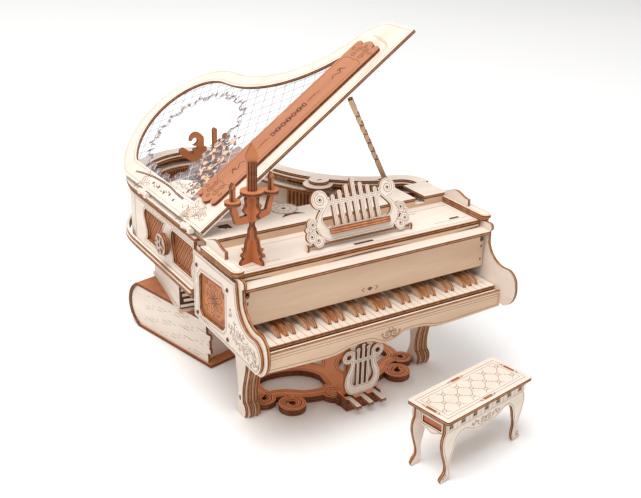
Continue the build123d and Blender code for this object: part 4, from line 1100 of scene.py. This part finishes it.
# ---- round boss of the front deck, and painted shade for its holes ----
def deck_marks():
    deck = top_face(RIM_TOP)
    plate("deck_boss", "piano", deck, ring(*BOSS_AT, 8.6, 40), BOSS_THICK, "birch")
    boss = top_face(RIM_TOP + BOSS_THICK)
    marks = Marks("deck_boss_lines")
    for r in (4.2, 7.6, 8.1):
        marks.line(boss, ring(*BOSS_AT, r, 40), 0.24, closed=True, lift=0.02)
    for k in range(12):
        turn = 30 * k
        marks.line(boss, placed([(4.4, 0), (5.4, 0.5), (6.4, 0), (7.3, 0.5)], *BOSS_AT, 1, turn), 0.22,
                   lift=0.02)
    marks.build()
    # The holes are not cut: these dark patches on the deck and the boss are painted shade of the openings.
    holes = Marks("deck_hole_shade", "piano", DEEP)
    holes.patch(boss, rect(-22.7, 74.0, -20.3, 76.2), 0.02)
    crescent = [(-29 + 15 * t / 12, 63.6 + 4.6 * sin(pi * t / 12)) for t in range(13)]
    crescent += [(-14 - 15 * t / 12, 63.0 + 1.6 * sin(pi * t / 12)) for t in range(13)]
    holes.patch(deck, crescent[::-1], 0.03)
    holes.patch(deck, [(-68.4, 66.2), (-64.6, 63.4), (-60.6, 66.2), (-64.6, 69.2)], 0.03)
    holes.build()


deck_marks()


# ---- music desk ----
def desk_marks():
    face = desk_face(25.0)
    marks = Marks("music_desk_lines", "music_desk")
    trace(marks, "music_desk", face, (0.75,), 0.2)
    for side in (-1, 1):
        marks.lines(face, (spiral(side * 22.6, 24.0, 3.6, 0.5, 90, -side * 2.1, 50), 0.28),
                    (spiral(side * 31.2, 5.0, 2.2, 0.4, 200, side * 1.5, 26), 0.26),
                    (spiral(side * 27.6, 2.4, 1.9, 0.4, 120, -side * 1.4, 24), 0.26),
                    (spiral(side * 29.4, 11.4, 2.4, 0.5, -60, side * 1.7, 28), 0.28),
                    (curve((side * 25.2, 4.4), (side * 27.8, 8.0), (side * 26.4, 13.6)), 0.24))
    for k in range(6):
        u = -11.6 + 4.7 * k
        marks.lines(face, ([(u - 1.3, 8.8), (u + 1.3, 8.8)], 0.22), ([(u, 8.8), (u, 7.9)], 0.2))
    marks.build()
    dots = Marks("music_desk_dots", "music_desk", DEEP)
    for side in (-1, 1):
        for u, v, r in ((22.6, 24.0, 0.7), (31.2, 5.0, 0.6), (27.6, 2.4, 0.55), (29.4, 11.4, 0.6)):
            dots.patch(face, ring(side * u, v, r, 12))
    dots.build()


desk_marks()
desk_normal = desk_face(0).normal
retint("music_desk", lambda c, n: c.y < 25.6 and 106.9 < c.z < 115 and abs(c.x) < 20.5
       and (Vector(c) - Vector((0, 24.6, 110.6))).dot(desk_normal) > 0.4, burnt("copper", UP))


# ---- lower front: lyre, foot plates, legs ----
def lower_marks():
    lyre = Marks("lyre_lines")
    trace(lyre, "lyre_front", front_face(LYRE_Y), (0.8,), 0.24)
    lyre.build()
    plates = Marks("foot_plate_lines", "piano", DEEP, "stained")
    deck = top_face(FOOT_PLATE_TOP)
    trace(plates, "base_scrollwork", deck, (1.0, 2.4), 0.28)
    for side in (-1, 1):
        plates.lines(deck, (spiral(side * 38.0, 33.8, 6.2, 2.4, 90, side * 1.6, 50), 0.34),
                     (spiral(side * 50.0, 46.2, 5.0, 2.0, 200, -side * 1.5, 44), 0.34),
                     (spiral(side * 9.8, 32.0, 6.6, 0.8, 10, side * 2.6, 60), 0.36))
    plates.build()
    # The leg holes are not cut: dark patches on the leg faces are painted shade of the openings.
    holes = Marks("leg_hole_shade", "piano", DEEP)
    for face, way in ((side_face(-1, LEG_X), -1), (side_face(1, LEG_X), 1)):
        for y, z, r in ((44.6, 47.0, 1.5), (44.4, 11.0, 1.4)):
            holes.patch(face, [(way * y + r * 0.75 * cos(a * pi / 8),
                                z + r * 1.25 * sin(a * pi / 8)) for a in range(16)])
    holes.build()


lower_marks()
# The lyre's foot takes the brightened rust tone: painted light against the shade under the piano.
retint("lyre_stand", lambda c, n: c.z < 8.2, wood("rust_painted_light", UP))
retint("lyre_stand", lambda c, n: c.z < 7.9 and abs(n.z) < 0.5, burnt("stained", UP))
retint("lyre_stand", lambda c, n: 8.2 < c.z < 36 and c.y > 19.6, wood("stained", BACK))


# ---- books ----
def book_marks():
    dark = Marks("page_dashes")
    for x, way in ((1.0, -1), (75.0, 1)):
        face = turned_face(BOOK_AT, BOOK_TURN, (x, 38.0, 0), (0, way, 0), UP)
        for k in range(58):
            u = -33 + 70 * ((k * 0.618034) % 1.0)
            v = 4 + 25 * ((k * 0.414214 + 0.13) % 1.0)
            length = 1.4 + 5.0 * ((k * 0.732051) % 1.0)
            dark.line(face, [(u, v), (min(u + length, 38), v)], 0.26)
    dark.build()
    slats = turned_face(TOP_BOOK_AT, TOP_BOOK_TURN, (0, 1.6, 0), RIGHT, UP)
    for k in range(9):
        low = 36.2 + 3.7 * k
        inset = 1.2 + (k * 2.3) % 3.1
        plate("page_slat_%d" % k, "piano", slats, rect(inset, low, 60.8, low + 1.9), 0.9, "birch")


book_marks()
retint("book_covers", lambda c, n: c.z > 33.02 and abs(n.z) > 0.5, wood("birch", UP))
retint("book_covers", lambda c, n: c.z > 33.02 and abs(n.z) < 0.5, wood("tan", UP))
retint("book_pages", lambda c, n: c.z > 34 and n.y < -0.5 and c.y < 122, DEEP)


# ---- tail side: grilles, panel lines, turning knob ----
def rim_marks():
    lattice = Marks("grille_lattice", "piano", DEEP, "stained")
    for y0, y1 in ((66.4, 94.2), (104.0, 133.6)):
        net(lattice, left_face(GRILLE_X), (-y1, 78.6, -y0, 103.0), 1.15, 4.1, lambda p: True, 0.36,
            steep=1.9)
    lattice.build()
    lines = Marks("rim_panel_lines")
    trace(lines, "rim_side_panel", left_face(SIDE_PANEL_X), (0.8, 1.5), 0.2)
    lines.build()
    knob = Marks("knob_lines", "knob")
    face = left_face(KNOB_X)
    for k in range(18):
        turn = 20 * k
        knob.line(face, placed([(2.6, 0), (5.2, 0)], *KNOB_AT, 1, turn), 0.34)
    for r in (2.2, 5.6):
        knob.line(face, ring(*KNOB_AT, r, 30), 0.26, closed=True)
    knob.build()


rim_marks()


# ---- floor, light and camera ----
def add_floor():
    mesh = bpy.data.meshes.new("studio_floor")
    size = 6.0
    mesh.from_pydata([(-size, -size, 0), (size, -size, 0), (size, size, 0), (-size, size, 0)], [],
                     [(0, 1, 2, 3)])
    material, tree, shader = new_material("studio_floor")
    place = sheet_coordinates(tree, XYZ)
    soft = noise(tree, place, (0.002, 0.002, 0.002), 1.0)
    tree.links.new(ramp(tree, soft, [(0.3, (0.93, 0.93, 0.93)), (0.7, (0.95, 0.95, 0.95))]),
                   shader.inputs["Base Color"])
    preset(shader, Roughness=0.9)
    mesh.materials.append(material)
    floor = add_object("studio_floor", mesh)
    floor.location.z = -0.0002


def add_area(name, location, target, size, energy):
    light = bpy.data.lights.new(name, "AREA")
    light.shape = "SQUARE"
    light.size = size
    light.energy = energy
    lamp = add_object(name, light)
    lamp.location = location
    lamp.rotation_mode = "QUATERNION"
    lamp.rotation_quaternion = (Vector(target) - Vector(location)).to_track_quat("-Z", "Y")


def add_camera():
    """The photograph's viewing angle."""
    az, el, roll = radians(-32.55), radians(23.66), radians(1.58)
    back = Vector((sin(az) * cos(el), -cos(az) * cos(el), sin(el)))
    right = Vector((cos(az), sin(az), 0))
    up = back.cross(right)
    right2 = right * cos(roll) + up * sin(roll)
    up2 = up * cos(roll) - right * sin(roll)
    data = bpy.data.cameras.new("camera")
    data.lens = 54.09
    data.sensor_width = 36.0
    data.clip_start, data.clip_end = 0.01, 20.0
    camera = add_object("camera", data)
    turn = Matrix((right2, up2, back)).transposed()
    camera.matrix_world = Matrix.Translation(point(-286.1, -381.0, 315.0)) @ turn.to_4x4()
    bpy.context.scene.camera = camera


add_floor()
add_area("key_light", (-0.55, -0.25, 1.6), (0, 0.05, 0.08), 1.1, 24.0)
add_area("fill_light", (1.1, -0.9, 0.9), (0, 0.05, 0.08), 1.4, 1.5)
add_area("back_light", (0.2, 1.3, 1.2), (0, 0.05, 0.10), 1.2, 4.0)
world = bpy.data.worlds.new("studio")
world.use_nodes = True
world.node_tree.nodes["Background"].inputs["Color"].default_value = (1.0, 0.99, 0.97, 1)
world.node_tree.nodes["Background"].inputs["Strength"].default_value = 0.62
bpy.context.scene.world = world
bpy.context.scene.view_settings.view_transform = "Standard"
add_camera()
